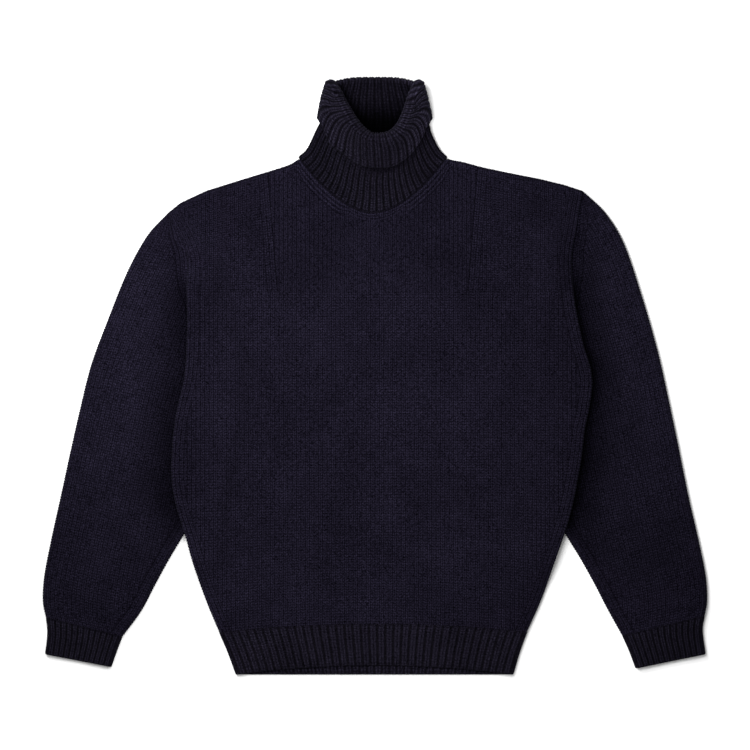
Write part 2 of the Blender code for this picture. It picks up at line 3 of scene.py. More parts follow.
import bmesh
import bpy
import numpy as np
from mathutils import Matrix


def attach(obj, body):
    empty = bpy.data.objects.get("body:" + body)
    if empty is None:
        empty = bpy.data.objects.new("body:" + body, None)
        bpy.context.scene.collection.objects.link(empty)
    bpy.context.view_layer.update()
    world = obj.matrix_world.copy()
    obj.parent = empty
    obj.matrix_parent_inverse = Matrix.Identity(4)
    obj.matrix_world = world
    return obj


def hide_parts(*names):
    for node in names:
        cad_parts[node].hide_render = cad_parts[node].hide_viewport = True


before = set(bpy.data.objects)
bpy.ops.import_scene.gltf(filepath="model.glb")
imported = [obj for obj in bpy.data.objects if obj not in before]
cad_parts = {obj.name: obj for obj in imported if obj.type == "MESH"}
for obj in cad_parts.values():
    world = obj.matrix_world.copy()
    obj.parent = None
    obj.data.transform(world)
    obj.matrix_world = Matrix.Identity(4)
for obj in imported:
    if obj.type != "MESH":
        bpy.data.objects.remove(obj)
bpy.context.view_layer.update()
bpy.ops.object.select_all(action="DESELECT")
print("frame loaded:", ", ".join(sorted(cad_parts)))

# Lengths below are in millimetres, as the pieces were knitted; meshes are in metres.
# +X is to the right as seen from above, +Y towards the collar, +Z up off the floor.
mm = 0.001

knit = {
    "cloth": 3.2,           # wall of the knit
    "seam": 0.3,            # gap between linked pieces
    "edgeRadius": 5.0,      # of a folded edge: both layers
    "flat": 8.0,            # both layers in the middle of a panel
    "puffReach": 42.0,      # how far in from an edge they are puffed up
    "wale": 5.8,            # width of a stitch column
    "course": 3.6,          # height of a stitch row
    "crest": 0.55,          # height of a stitch above the sheet
    "leg": -0.2,            # between two rows of stitches
    "grooveHigh": -0.2,     # between two columns, beside a stitch
    "grooveLow": -0.65,     # and between rows
    "rise": 0.42,           # how far the legs of a V climb, in rows
    "seamDip": -1.0,        # in a line where pieces or bands meet
    "bandGroove": -1.0,     # between the columns along an armhole
    "clearDepth": 0.32,     # how much deeper a groove is where the columns stand apart
    "clearBeside": (62, 18),    # where they do: so near a side, and below so high
    "clearBelow": (120, 60),
    "clearNeck": (38, 70),      # and so far from the middle, above so high
    "clearAbove": (105, 165),
    "heldRidge": 0.6,           # a row beside a line, as a share of the line's depth
}

body = {
    # y, left edge, right edge
    "edges": [
        (-400, -184.5, 183.5), (-366, -197, 193.5), (-343, -207, 202), (-300, -225, 221),
        (-246, -243.5, 240), (-208, -254, 253), (-176, -264, 262), (-137, -270.5, 270),
        (-100, -270, 276), (-73, -268, 279), (-43, -263, 285), (-4, -254, 289),
        (47, -250.5, 276), (113, -250.5, 264), (166, -251.5, 262.5), (193, -263, 267),
        (217, -275, 271), (246, -276, 276), (290, -276, 277),
    ],
    # x, y of the shoulders
    "shoulder": [
        (-290, 205), (-275, 217), (-259, 230), (-225, 246), (-174, 262), (-123, 277.5),
        (-112, 281.5), (-101, 288.7), (95, 288.7), (119, 284), (143, 277.5), (178, 270),
        (219, 262), (252, 254), (276, 246), (290, 240),
    ],
    "panelLineY": 112.0,    # lower edge of the shoulder panels
    "leftLine": (-129.7, -142.3),   # x of the panels' inner edges, at their foot and top
    "rightLine": (123.6, 135.6),
    "lineTopY": 270.0,
    "hemSeamY": -330.0,
    "hemSeamDrop": 11.0,
    "hemSeamHalf": 205.0,
    "frontHemY": -386.0,
    "frontHemDrop": 12.0,
    "frontHemHalf": 185.0,
    "frontHemBend": 1.9,
    "backHemY": -398.0,
    "neckMiddle": -3.0,
    "neckHalf": 98.0,
    "neckPointY": 288.7,
    "frontNeckY": 215.5,
    "backNeckY": 272.0,
    "frontNeckBend": 1.8,
    "backNeckBend": 2.5,
    "roundStartY": 192.0,
    "reach": 290,           # columns are laid out so far to each side
    "frontRowsEnd": 296,    # and rows up to here, before the top cuts them off
    "backRowsEnd": 300,
    "drapeEndY": -90,       # rows follow the hem's seam below this
    "rightShade": 0.13,     # how much darker its right side is, away from the light
    "rightShadeX": (60, 260),
    "rightShadeY": (190, 60),
    # where, which way, how long, wide and high its soft folds are
    "folds": [
        (205, -62, 152, 92, 20, 2.6), (-196, -88, 78, 118, 19, 2.3),
        (-120, -215, 62, 96, 26, 1.9), (118, -236, 112, 104, 28, 2.1),
        (22, 64, 12, 120, 34, 1.7), (-10, -300, 4, 120, 22, 1.6),
        (228, 28, 118, 60, 11, 1.3), (-214, 18, 64, 70, 10, 1.1),
        (-60, 130, 84, 60, 16, 0.9), (70, 118, 98, 66, 18, 0.9),
        (-180, -250, 70, 70, 14, 1.1), (176, -180, 96, 80, 13, 1.2),
    ],
}

tuck = {                    # the sleeves lie under the body's sides, which rise over them
    "reach": 41.0,          # how far under at the underarm
    "topY": 152.0,          # the armhole starts to go under here, and is all the way in here
    "endY": -7.0,
    "lift": 10.6,           # how high the body's underside is over a sleeve
    "fullY": 156.0,
    "lastY": -240.0,
    "downY": -292.0,
    "lead": 20.0,           # the rise is done so far before the sleeve's hidden edge
    "leavesY": -184.0,      # below this the sleeve comes out, and the rise is done sooner
    "growth": 0.6,
    "ramp": 34.0,
}

# outer x, outer y, inner x, inner y, from the armhole to the cuff
sleeveTables = {
    "left": [
        (-275, 217, -213, -7), (-303, 186, -216, -31), (-330, 137, -219, -60),
        (-357, 70, -222, -93), (-378, 13, -226, -126), (-393, -47, -231, -158),
        (-405, -100, -239, -184), (-418, -160, -253, -209), (-431, -219, -275, -246),
        (-440, -266, -293, -279), (-442, -299, -311, -313), (-438, -321, -336, -347),
    ],
    "right": [
        (276, 246, 248, -7), (306, 217, 243, -31), (331, 176, 238, -60),
        (355, 106, 233, -93), (376, 33, 231, -126), (390, -29, 233, -157),
        (402, -86, 240, -184), (417, -160, 253, -210), (431, -221, 273, -243),
        (440, -266, 292, -277), (442, -299, 309, -310), (439, -319, 329, -346),
    ],
}
cuffTables = {
    "left": [
        (-438, -321, -336, -347), (-436, -343, -343, -365), (-439, -371, -351, -388),
    ],
    "right": [(439, -319, 329, -346), (436, -339, 338, -366), (440, -371, 347, -390)],
}


# Curves and soft shapes

def curveAt(knots, values, at):
    knots = np.asarray(knots, float)
    values = np.asarray(values, float)
    slope = np.gradient(values, knots)
    at = np.clip(at, knots[0], knots[-1])
    i = np.clip(np.searchsorted(knots, at, side="right") - 1, 0, len(knots) - 2)
    span = knots[i + 1] - knots[i]
    t = (at - knots[i]) / span
    return (
        (1 + 2 * t) * (1 - t) ** 2 * values[i]
        + t * (1 - t) ** 2 * span * slope[i]
        + t * t * (3 - 2 * t) * values[i + 1]
        + t * t * (t - 1) * span * slope[i + 1]
    )


def smoothStep(start, end, at):
    t = np.clip((at - start) / (end - start), 0, 1)
    return t * t * (3 - 2 * t)


def foldHeight(folds, x, y):
    total = np.zeros(np.shape(x))
    for foldX, foldY, angle, length, width, height in folds:
        turn = math.radians(angle)
        along = (x - foldX) * math.cos(turn) + (y - foldY) * math.sin(turn)
        across = (y - foldY) * math.cos(turn) - (x - foldX) * math.sin(turn)
        total += height * np.exp(-((along / length) ** 2) - (across / width) ** 2)
    return total


def bodyEdge(side, y):
    column = 1 if side < 0 else 2
    return curveAt([e[0] for e in body["edges"]], [e[column] for e in body["edges"]], y)


def fromNeck(x):
    return np.abs(x - body["neckMiddle"])


def necklineY(x, lowest, bend):
    share = np.clip(fromNeck(x) / body["neckHalf"], 0, 1)
    return body["neckPointY"] + (lowest - body["neckPointY"]) * (1 - share ** bend)


def onNeckline(x):
    return fromNeck(x) < body["neckHalf"] - 0.5


def shoulderY(x):
    return np.interp(x, [p[0] for p in body["shoulder"]], [p[1] for p in body["shoulder"]])


def frontTop(x):
    neck = necklineY(x, body["frontNeckY"], body["frontNeckBend"])
    return np.where(onNeckline(x), neck, shoulderY(x))


def backTop(x):
    neck = necklineY(x, body["backNeckY"], body["backNeckBend"])
    return np.where(onNeckline(x), neck, shoulderY(x))


def hemSeam(x):
    return body["hemSeamY"] - body["hemSeamDrop"] * (x / body["hemSeamHalf"]) ** 2


def panelLine(side, y):
    low, high = body["leftLine" if side < 0 else "rightLine"]
    return low + (high - low) * (y - body["panelLineY"]) / (body["lineTopY"] - body["panelLineY"])


def sleeveEdge(side, y):
    rows = sleeveTables["left" if side < 0 else "right"]
    hidden = curveAt([-r[3] for r in rows], [r[2] for r in rows], -y)
    inward = tuck["reach"] * smoothStep(tuck["topY"], tuck["endY"], y)
    beside = bodyEdge(side, y) - side * (0.5 + inward)
    return np.where(y > tuck["endY"], beside, hidden)


def liftAt(x, y):
    low = smoothStep(tuck["downY"], tuck["lastY"], y)
    lead = tuck["lead"] + tuck["growth"] * np.maximum(0, tuck["leavesY"] - y)
    height = np.zeros(np.shape(x))
    for side, name in ((-1, "left"), (1, "right")):
        fade = smoothStep(sleeveTables[name][0][1], tuck["fullY"], y) * low
        edge = sleeveEdge(side, y) - side * lead
        height = np.maximum(height, fade * smoothStep(edge - side * tuck["ramp"], edge, x))
    return tuck["lift"] * height


def bodySurface(x, y, top, isFront):
    # points of the body's outer face and the way out of it; top is None on the hem
    radius = knit["edgeRadius"]
    fromLeft = x - bodyEdge(-1, y)
    fromRight = bodyEdge(1, y) - x
    beside = np.maximum(np.minimum(fromLeft, fromRight), 0)
    side = np.where(fromLeft < fromRight, -1.0, 1.0)
    cosSide = np.clip(1 - beside / radius, 0, 1)
    cosSide = cosSide * smoothStep(body["roundStartY"], tuck["fullY"], y)
    near = np.exp(-((beside / knit["puffReach"]) ** 2))
    cosTop = np.zeros(x.shape)
    if top is not None:
        below = np.maximum(top - y, 0)
        cosTop = np.clip(1 - below / radius, 0, 1) * ~onNeckline(x)
        near = np.maximum(near, np.exp(-((below / knit["puffReach"]) ** 2)))
    rise = np.sqrt(1 - cosSide ** 2) * np.sqrt(1 - cosTop ** 2)
    thick = knit["flat"] + (2 * radius - knit["flat"]) * near
    if top is not None:
        thick = thick + foldHeight(body["folds"], x, y) * (1 - near)
    base = liftAt(x, y)
    normal = np.stack([side * cosSide, cosTop, rise], -1)
    normal /= np.linalg.norm(normal, axis=-1, keepdims=True)
    if isFront:
        z = base + radius + (thick - radius) * rise + knit["seam"] / 2 * (1 - rise)
    else:
        z = base + (radius - knit["seam"] / 2) * (1 - rise)
        normal[..., 2] *= -1
    return np.stack([x, y, z], -1), normal


# Shells: a fine outer face of stitches, a plainer inner face and the rims between them

def stopsOf(count, step, ends=1, also=()):
    # every step-th line, each of the first and last few, and some that are named
    stops = set(range(ends, count - ends, step)) | set(range(ends)) | set(also)
    return sorted(stops | set(range(count - ends, count)))


def rimFaces(line, first, last):
    half = max(1, len(line) // 2)
    faces = [[line[k], line[k + 1], first if k < half else last] for k in range(len(line) - 1)]
    return faces + [[line[half], last, first]]


def addShell(
    name, outer, inner, uv, depth, rowStops, colStops, kept=None, closed=False, innerDepth=None,
    shade=1.0, innerShade=1.0,
):
    rows, cols = outer.shape[:2]
    cells = len(colStops) if closed else len(colStops) - 1
    ends = list(colStops) + [cols] if closed else list(colStops)
    innerCols = len(colStops)
    base = rows * cols
    if kept is None:
        kept = np.ones((len(rowStops) - 1, cells), bool)
    verts = np.concatenate([outer.reshape(-1, 3), inner.reshape(-1, 3)]) * mm
    innerUv = uv[np.ix_(rowStops, colStops)]
    uvs = np.concatenate([uv.reshape(-1, 2), innerUv.reshape(-1, 2)])
    if innerDepth is None:
        innerDepth = np.full(inner.shape[:2], -0.4)
    depths = np.concatenate([depth.ravel(), innerDepth.ravel()])
    shades = np.concatenate([
        (shade + 0 * depth).ravel(), (innerShade + 0 * innerDepth).ravel()
    ])
    fine = np.zeros((rows - 1, cols if closed else cols - 1), bool)
    rims = []
    walls = []

    def isKept(r, c):
        if closed:
            c %= cells
        return 0 <= r < kept.shape[0] and 0 <= c < cells and kept[r, c]

    for r, c in zip(*np.nonzero(kept)):
        r0, r1, c0, c1 = rowStops[r], rowStops[r + 1], ends[c], ends[c + 1]
        fine[r0:r1, c0:c1] = True
        a = base + r * innerCols + c
        b = base + r * innerCols + (c + 1) % innerCols
        d, e = a + innerCols, b + innerCols
        walls.append([a, d, e, b])
        if not isKept(r - 1, c):
            rims += rimFaces([r0 * cols + k % cols for k in range(c1, c0 - 1, -1)], b, a)
        if not isKept(r + 1, c):
            rims += rimFaces([r1 * cols + k % cols for k in range(c0, c1 + 1)], d, e)
        if not isKept(r, c - 1):
            rims += rimFaces([k * cols + c0 for k in range(r0, r1 + 1)], a, d)
        if not isKept(r, c + 1):
            rims += rimFaces([k * cols + c1 % cols for k in range(r1, r0 - 1, -1)], e, b)
    rr, cc = np.nonzero(fine)
    after = (cc + 1) % cols
    quads = [rr * cols + cc, rr * cols + after, (rr + 1) * cols + after, (rr + 1) * cols + cc]
    faces = np.stack(quads, 1).tolist() + walls + rims
    mesh = bpy.data.meshes.new(name)
    mesh.from_pydata(verts.tolist(), [], faces)
    loops = np.empty(len(mesh.loops), np.int32)
    mesh.loops.foreach_get("vertex_index", loops)
    layer = mesh.uv_layers.new(name="stitches")
    layer.uv.foreach_set("vector", uvs[loops].astype(np.float32).ravel())
    for label, values in (("depth", depths), ("shade", shades)):
        layer = mesh.attributes.new(label, "FLOAT", "POINT")
        layer.data.foreach_set("value", values.astype(np.float32))
    work = bmesh.new()
    work.from_mesh(mesh)
    loose = [v for v in work.verts if not v.link_faces]
    bmesh.ops.delete(work, geom=loose, context="VERTS")
    bmesh.ops.remove_doubles(work, verts=work.verts, dist=0.03 * mm)
    if work.calc_volume(signed=True) < 0:
        bmesh.ops.reverse_faces(work, faces=work.faces)
    work.to_mesh(mesh)
    work.free()
    mesh.shade_smooth()
    mesh.set_sharp_from_angle(angle=math.radians(70))
    piece = bpy.data.objects.new(name, mesh)
    bpy.context.scene.collection.objects.link(piece)
    print(f"{name}: {sum(len(p.vertices) - 2 for p in mesh.polygons)} triangles")
    return piece


def clearColumns(x, y):
    # how clearly the columns of stitches stand apart: beside the neck and the body's sides
    beside = np.minimum(x - bodyEdge(-1, y), bodyEdge(1, y) - x)
    sides = smoothStep(*knit["clearBeside"], beside) * smoothStep(*knit["clearBelow"], y)
    neck = smoothStep(*knit["clearNeck"], np.abs(x)) * smoothStep(*knit["clearAbove"], y)
    return np.maximum(sides, neck)


def stitchRelief(isGroove, isRidge):
    low = np.where(isRidge, knit["grooveHigh"], knit["grooveLow"])
    high = np.where(isRidge, knit["crest"], knit["leg"])
    return np.where(isGroove, low, high)


# Body: straight columns of stitches, with bands that follow its edges

edgeBand = [            # distance from the edge and stitch column there
    (0.0, 0.0), (0.67, 0.3), (2.5, 0.6), (5.0, 1.0), (7.9, 1.5), (10.8, 2.0), (13.7, 2.5),
    (16.6, 3.0),
]
bandWidth = edgeBand[-1][0]
bands = {
    # distances below a panel's top at which its last rows lie: plain ones, the ridges along
    # the neckline, and the rows at its lowest part
    "plain": (8.6, 7.4, 6.2, 5.0, 2.5, 0.67, 0.0),
    "ridges": (14.4, 12.0, 9.6, 7.2, 4.8, 2.4, 0.0),
    "rows": (10.8, 9.0, 7.2, 5.4, 3.6, 1.8, 0.0),
    "ridgesFrom": (38, 46),     # how far from the middle the ridges begin, and where they end
    "ridgesEnd": (93, 106),
    "linesFrom": (41, 47),      # the same for the lines drawn between them
    "linesEnd": (98.5, 106),
    "lastRow": -0.3,            # height of the very last row
}
bandRows = len(bands["plain"])


def bodyColumns(pitch, left, right, anchor, low, high):
    # a row for each line of stitches: how it is placed (-1 from the left edge, 1 from the
    # right edge, 0 by its x), its place, its stitch column, and whether it is in a band
    first = left[-1][1] if left else 0
    low, high = math.floor(low / pitch), math.ceil(high / pitch)
    columns = [(-1, d, w, 1) for d, w in left]
    for k in range(2 * low, 2 * high + 1):
        columns.append((anchor, k * pitch / 2, first + k / 2 - low, 0))
    last = first + high - low + (right[-1][1] if right else 0)
    columns += [(1, -d, last - w, 1) for d, w in reversed(right)]
    return np.array(columns)


def placeColumns(columns, left, right):
    # x of every column on rows whose edges are given, and which are held by a band's edge
    anchor, place, _, banded = columns.T
    x = np.where(anchor < 0, left + place, np.where(anchor > 0, right + place, place))
    banded = banded > 0
    reachLeft = place[banded & (anchor < 0)].max(initial=0)
    reachRight = place[banded & (anchor > 0)].min(initial=0)
    low, high = left + reachLeft, right + reachRight
    atLow = (x < low + 0.7) & ~banded
    atHigh = (x > high - 0.7) & ~banded
    x = np.where(atLow, low, np.where(atHigh, high, x))
    inner = banded & np.where(anchor < 0, place == reachLeft, place == reachRight)
    return x, atLow | atHigh | inner


def plainBand(x):
    return np.array([d + 0 * x for d in bands["plain"]])


def neckBand(x):
    # with three ridges measured square to the neckline
    share = np.clip(fromNeck(x) / body["neckHalf"], 0, 1)
    drop = (body["neckPointY"] - body["frontNeckY"]) * body["frontNeckBend"] / body["neckHalf"]
    scale = np.hypot(1, drop * share ** (body["frontNeckBend"] - 1))
    along = 1 - smoothStep(*bands["ridgesEnd"], fromNeck(x))
    ridges = np.array([d * scale for d in bands["ridges"]])
    rows = np.array([d + 0 * x for d in bands["rows"]])
    corner = smoothStep(*bands["ridgesFrom"], np.abs(x))
    ridges = ridges * corner + rows * (1 - corner)
    return ridges * along + plainBand(x) * (1 - along)


def neckLines(x):
    # how strongly the lines along the neckline show
    along = 1 - smoothStep(*bands["linesEnd"], fromNeck(x))
    return along * smoothStep(*bands["linesFrom"], np.abs(x))


def layZone(spec):
    # x, y and relief of the stitches of part of a panel, row by row
    columns, course = spec["columns"], spec["course"]
    left, right = spec["edges"]
    rowY = spec["rowY"][:, None] * np.ones(len(columns))
    groove = columns[:, 2] % 1 == 0
    ridge = (np.arange(len(rowY)) % 2 == 0)[:, None]
    skew = np.where(groove, knit["rise"], 0.0) * np.ones(rowY.shape)
    x, held = placeColumns(columns, left(rowY), right(rowY))
    skew[held] = knit["rise"] / 2
    skew[0] = 0
    relief = stitchRelief(groove, ridge)
    if spec.get("clear"):
        relief = relief - knit["clearDepth"] * groove * clearColumns(x, rowY)
    relief[held] = np.where(ridge & held, knit["heldRidge"], 1.0)[held] * spec["dip"]
    marked = groove & (columns[:, 3] > 0) & (columns[:, 0] > 0) & spec.get("marked", False)
    relief = np.where(marked & ~held, knit["bandGroove"] * np.where(ridge, 0.7, 1), relief)
    if spec["top"] is None:
        skew[-1] = 0
        for _ in range(3):
            y = rowY + skew * course + spec["drape"](x, rowY)
            x, _ = placeColumns(columns, left(y), right(y))
        return x, y, relief
    for _ in range(4):
        level = rowY + skew * course + spec["drape"](x, rowY)
        ceiling = spec["top"](x) - spec["band"](x)[0]
        capped = level > ceiling - 0.25 * course
        y = np.where(capped, ceiling, level)
        x, _ = placeColumns(columns, left(y), right(y))
    bandY = np.repeat(ceiling[-1:], bandRows, axis=0)
    for _ in range(16):         # its x and y depend on each other, and settle
        bandX, _ = placeColumns(columns, left(bandY), right(bandY))
        distances = np.array([spec["band"](bandX[i])[i] for i in range(bandRows)])
        bandY = 0.5 * (bandY + spec["top"](bandX) - distances)
    bandHeld = placeColumns(columns, left(bandY), right(bandY))[1]
    neck = spec["neck"] * neckLines(x)
    relief = np.where(capped, knit["seamDip"] * neck + bands["lastRow"] * (1 - neck), relief)
    neck = spec["neck"] * neckLines(bandX)
    bandRidge = (np.arange(bandRows) % 2 == 1)[:, None]
    bandRelief = stitchRelief(groove, bandRidge)
    bandRelief[bandHeld] = 0.7 * spec["dip"]
    lines = np.where(bandRidge, np.where(groove, 0.15, 0.75), np.where(groove, -1.0, -0.6))
    bandRelief = bandRelief * (1 - neck) + lines * neck
    bandRelief[-1] = bands["lastRow"]
    return (
        np.vstack([x, bandX[1:]]), np.vstack([y, bandY[1:]]), np.vstack([relief, bandRelief[1:]])
    )


def bodyPiece(name, columns, zones, top, isFront, rowCuts=(), colCuts=(), mask=None):
    x, y, relief = [np.vstack(part) for part in zip(*zones)]
    points, normals = bodySurface(x, y, top(x), isFront)
    if not isFront:
        relief = relief - knit["crest"]         # its underside rests flat
    outer = points + normals * relief[..., None]
    rowStops = stopsOf(x.shape[0], 6, 2, rowCuts)
    colStops = stopsOf(x.shape[1], 6, 5, colCuts)
    grid = np.ix_(rowStops, colStops)
    inner = points[grid] - normals[grid] * knit["cloth"]
    courses = np.arange(x.shape[0])[:, None] / 2 + 0 * x
    uv = np.stack([columns[:, 2] + 0 * x, courses], -1)
    kept = mask(rowStops, colStops) if mask else None
    away = body["rightShade"] * smoothStep(*body["rightShadeX"], x)
    shade = 1 - away * smoothStep(*body["rightShadeY"], y)
    return addShell(name, outer, inner, uv, relief, rowStops, colStops, kept, shade=shade)


def leftSide(y):
    return bodyEdge(-1, y)


def rightSide(y):
    return bodyEdge(1, y)


def leftLine(y):
    return panelLine(-1, y)


def rightLine(y):
    return panelLine(1, y)


def hemDrape(x, y):
    fade = smoothStep(body["hemSeamY"], body["drapeEndY"], y)
    return (hemSeam(x) - body["hemSeamY"]) * (1 - fade)


seamY = body["hemSeamY"] + knit["seam"] / 2
lineY = body["panelLineY"]
halves = 2 * round((lineY - seamY) / knit["course"])
lowerY = np.linspace(seamY, lineY, halves + 1)
upperY = np.arange(lineY, body["frontRowsEnd"], knit["course"] / 2)
wide = bodyColumns(knit["wale"], edgeBand, edgeBand, 0, -body["reach"], body["reach"])
narrow = wide.copy()
narrow[wide[:, 3] > 0, 1] = 0               # above the line no band: the panels have it
places = np.where(wide[:, 3] > 0, wide[:, 0] * 999, wide[:, 1])
leftCorner = int(np.nonzero(places <= panelLine(-1, lineY) + 0.7)[0][-1])
rightCorner = int(np.nonzero(places >= panelLine(1, lineY) - 0.7)[0][0])
highestY = 290.0            # just over the highest point of the shoulders
leftmost = int(np.nonzero(places <= panelLine(-1, highestY))[0][-1])
rightmost = int(np.nonzero(places >= panelLine(1, highestY))[0][0])


def frontMask(rowStops, colStops):
    # room for the shoulder panels
    kept = np.ones((len(rowStops) - 1, len(colStops) - 1), bool)
    row = rowStops.index(halves)
    kept[row, :colStops.index(leftCorner)] = False
    kept[row, colStops.index(rightCorner):] = False
    kept[row + 1:, :colStops.index(leftmost)] = False
    kept[row + 1:, colStops.index(rightmost):] = False
    return kept


lowZone = layZone({
    "columns": wide, "rowY": lowerY, "edges": (leftSide, rightSide), "top": None, "dip": -1.0,
    "course": knit["course"], "drape": hemDrape, "clear": True,
})
lowZone[0][-1, leftCorner] = panelLine(-1, lineY)
lowZone[0][-1, rightCorner] = panelLine(1, lineY)
highZone = layZone({
    "columns": narrow, "rowY": upperY, "edges": (leftLine, rightLine), "top": frontTop,
    "band": neckBand, "neck": 1.0, "dip": -0.75, "course": knit["course"],
    "drape": lambda x, y: 0 * x, "clear": True,
})
front = bodyPiece(
    "front_knit", wide, [lowZone, highZone], frontTop, True,
    (halves, halves + 1), (leftCorner, rightCorner, leftmost, rightmost), frontMask,
)

backZone = layZone({
    "columns": wide, "rowY": np.arange(seamY, body["backRowsEnd"], knit["course"] / 2),
    "edges": (leftSide, rightSide), "top": backTop, "band": plainBand, "neck": 0.0, "dip": -1.0,
    "course": knit["course"], "drape": hemDrape, "clear": True,
})
back = bodyPiece("back_knit", wide, [backZone], backTop, False)

patch = {
    "wale": 5.5,
    "course": 3.1,
    "dip": -0.7,            # in the lines at its edges
    "leftReach": (-285, -120),
    "rightReach": (115, 285),
    "rowsEnd": 350,
    "turn": 0.9,            # its rows turn by so much to follow the shoulder, level here
    "turnX": 190.0,
    "turnY": (105, 270),
}
lineBand = [(0.0, 0.0), (3.3, 0.5), (6.6, 1.0), (9.9, 1.5), (13.2, 2.0)]


def shoulderDrape(side):
    def drape(x, y):
        turned = patch["turn"] * (shoulderY(x) - shoulderY(side * patch["turnX"]))
        return turned * smoothStep(*patch["turnY"], y)
    return drape


def shoulderPatch(name, side):
    gap = knit["seam"]
    if side < 0:
        columns = bodyColumns(patch["wale"], edgeBand, lineBand, 0, *patch["leftReach"])
        edges = (leftSide, lambda y: panelLine(-1, y) - gap)
    else:
        columns = bodyColumns(patch["wale"], lineBand, edgeBand, 0, *patch["rightReach"])
        edges = (lambda y: panelLine(1, y) + gap, rightSide)
    zone = layZone({
        "columns": columns, "rowY": np.arange(lineY + gap, patch["rowsEnd"], patch["course"] / 2),
        "edges": edges, "top": frontTop, "band": plainBand, "neck": 0.0, "dip": patch["dip"],
        "course": patch["course"], "drape": shoulderDrape(side), "marked": side > 0,
    })
    return bodyPiece(name, columns, [zone], frontTop, True)


patchLeft = shoulderPatch("left_shoulder_knit", -1)
patchRight = shoulderPatch("right_shoulder_knit", 1)


# Ribs: two legs of stitches with a valley between them, and a gap beside them

rib = {
    "shares": np.array([0, 0.11, 0.2, 0.3, 0.5, 0.7, 0.8, 0.89]),
    "heights": np.array([-0.5, -0.2, 0.8, 1.2, 0.25, 1.2, 0.8, -0.2]),
    "ridge": 0.35,              # how much lower a leg is between two rows
    "hemCount": 37,
    "hemRest": 1.5,             # how far the front hem's edge comes down on the back's
    "hemShade": 0.76,
    "hemInnerShade": 0.68,
    "hemRelief": 0.85,
    "frontDrawn": 0.6,          # how much of the rounding its edge has
    "pressed": 1.2,             # how far ribs are pushed in where they lie on something
    "underShare": 0.75,         # how high ribs are on the inside
    "cuffCount": 12,
    "cuffPlain": 0.045,         # share of its width that is plain at each edge
    "cuffPuff": 0.4,
    "cuffShade": {-1: 0.58, 1: 0.62},
}


def ribLines(count):
    # places of the lines of stitches in so many ribs, the last gap left out
    return (np.arange(count)[:, None] + rib["shares"]).ravel()


def ribRelief(lines, isRidge):
    shares = np.append(rib["shares"], 1.0)
    heights = np.append(rib["heights"], rib["heights"][0])
    height = np.interp(lines % 1, shares, heights)
    return height - np.where(isRidge, 0, rib["ridge"]) * (height > 0)


def ribSkew(lines):
    return knit["rise"] * knit["course"] * np.abs(2 * (lines % 1) - 1)


def roundedEnd(distance, cloth):
    # how far each face draws in towards the middle of the wall near a cast off edge
    half = cloth / 2
    near = np.clip(1 - distance / half, 0, 1)
    return half * (1 - np.sqrt(1 - near ** 2)) * 0.85


def hemPiece(name, isFront):
    lines = np.append(ribLines(rib["hemCount"]), rib["hemCount"])
    arcs = np.array([0.0, 0.67, 2.5])
    fold = np.full(3, -1.0)
    lines = np.concatenate([fold, lines, fold])
    share = np.clip(lines / rib["hemCount"], 0, 1)
    inset = knit["edgeRadius"] * (1 - 2 * share)
    share[-3:] = 1
    inset[:3] = arcs
    inset[-3:] = -arcs[::-1]
    endY = body["frontHemY"] if isFront else body["backHemY"]
    rows = 2 * round((body["hemSeamY"] - endY) / knit["course"]) + 1
    level = np.linspace(0, 1, rows)
    level = np.concatenate([[0, 0.007, 0.016, 0.028], level[1:]])[:, None]
    isRidge = (np.arange(len(level)) % 2 == 0)[:, None]
    x = np.zeros((len(level), len(lines)))
    for _ in range(5):
        if isFront:
            out = np.clip(np.abs(x) / body["frontHemHalf"], 0, 1)
            low = endY - body["frontHemDrop"] * out ** body["frontHemBend"]
        else:
            low = endY + 0 * x
        high = hemSeam(x) - knit["seam"] / 2
        skew = np.where(lines < 0, 0.5 * knit["rise"] * knit["course"], ribSkew(lines))
        y = low + (high - low) * level + skew * smoothStep(0.03, 0.08, level) * (level < 1)
        x = rightSide(y) * share + leftSide(y) * (1 - share) + inset
    points, normals = bodySurface(x, y, None, isFront)
    if isFront:
        middle = smoothStep(0, 22, np.minimum(x - leftSide(y), rightSide(y) - x))
        points[..., 2] -= rib["hemRest"] * middle * smoothStep(0.3, 0.0, level)
    height = np.where(lines < 0, 0.2, ribRelief(lines, isRidge))
    height = height * smoothStep(1.0, 0.93, level) * (0.35 + 0.65 * smoothStep(0, 0.03, level))
    height = height * rib["hemRelief"]
    drawn = roundedEnd(level * (body["hemSeamY"] - endY), knit["cloth"])
    under = rib["underShare"] * ribRelief(lines + 0.5, isRidge) * (lines >= 0)
    under = under * smoothStep(1.0, 0.93, level)
    if isFront:
        outer = points + normals * (height - rib["frontDrawn"] * drawn)[..., None]
        inner = points - normals * (knit["cloth"] - rib["frontDrawn"] * drawn)[..., None]
        rowStops = stopsOf(len(level), 4, 5)
        colStops = stopsOf(len(lines), 8, 4)
    else:
        outer = points + normals * (np.minimum(height - rib["pressed"], 0) - drawn)[..., None]
        inner = points - normals * (knit["cloth"] - drawn + np.maximum(under, 0))[..., None]
        rowStops = list(range(len(level)))
        colStops = list(range(len(lines)))
    uv = np.stack([lines + 0 * x, np.arange(len(level))[:, None] / 2 + 0 * x], -1)
    grid = np.ix_(rowStops, colStops)
    innerDepth = None if isFront else (np.maximum(under, -0.5) / rib["underShare"])[grid]
    return addShell(
        name, outer, inner[grid], uv, height, rowStops, colStops, innerDepth=innerDepth,
        shade=rib["hemShade"], innerShade=rib["hemInnerShade"],
    )


hemFront = hemPiece("front_hem_rib", True)
hemBack = hemPiece("back_hem_rib", False)


# Sleeves and cuffs: flattened tubes, their rows laid across from the outer fold

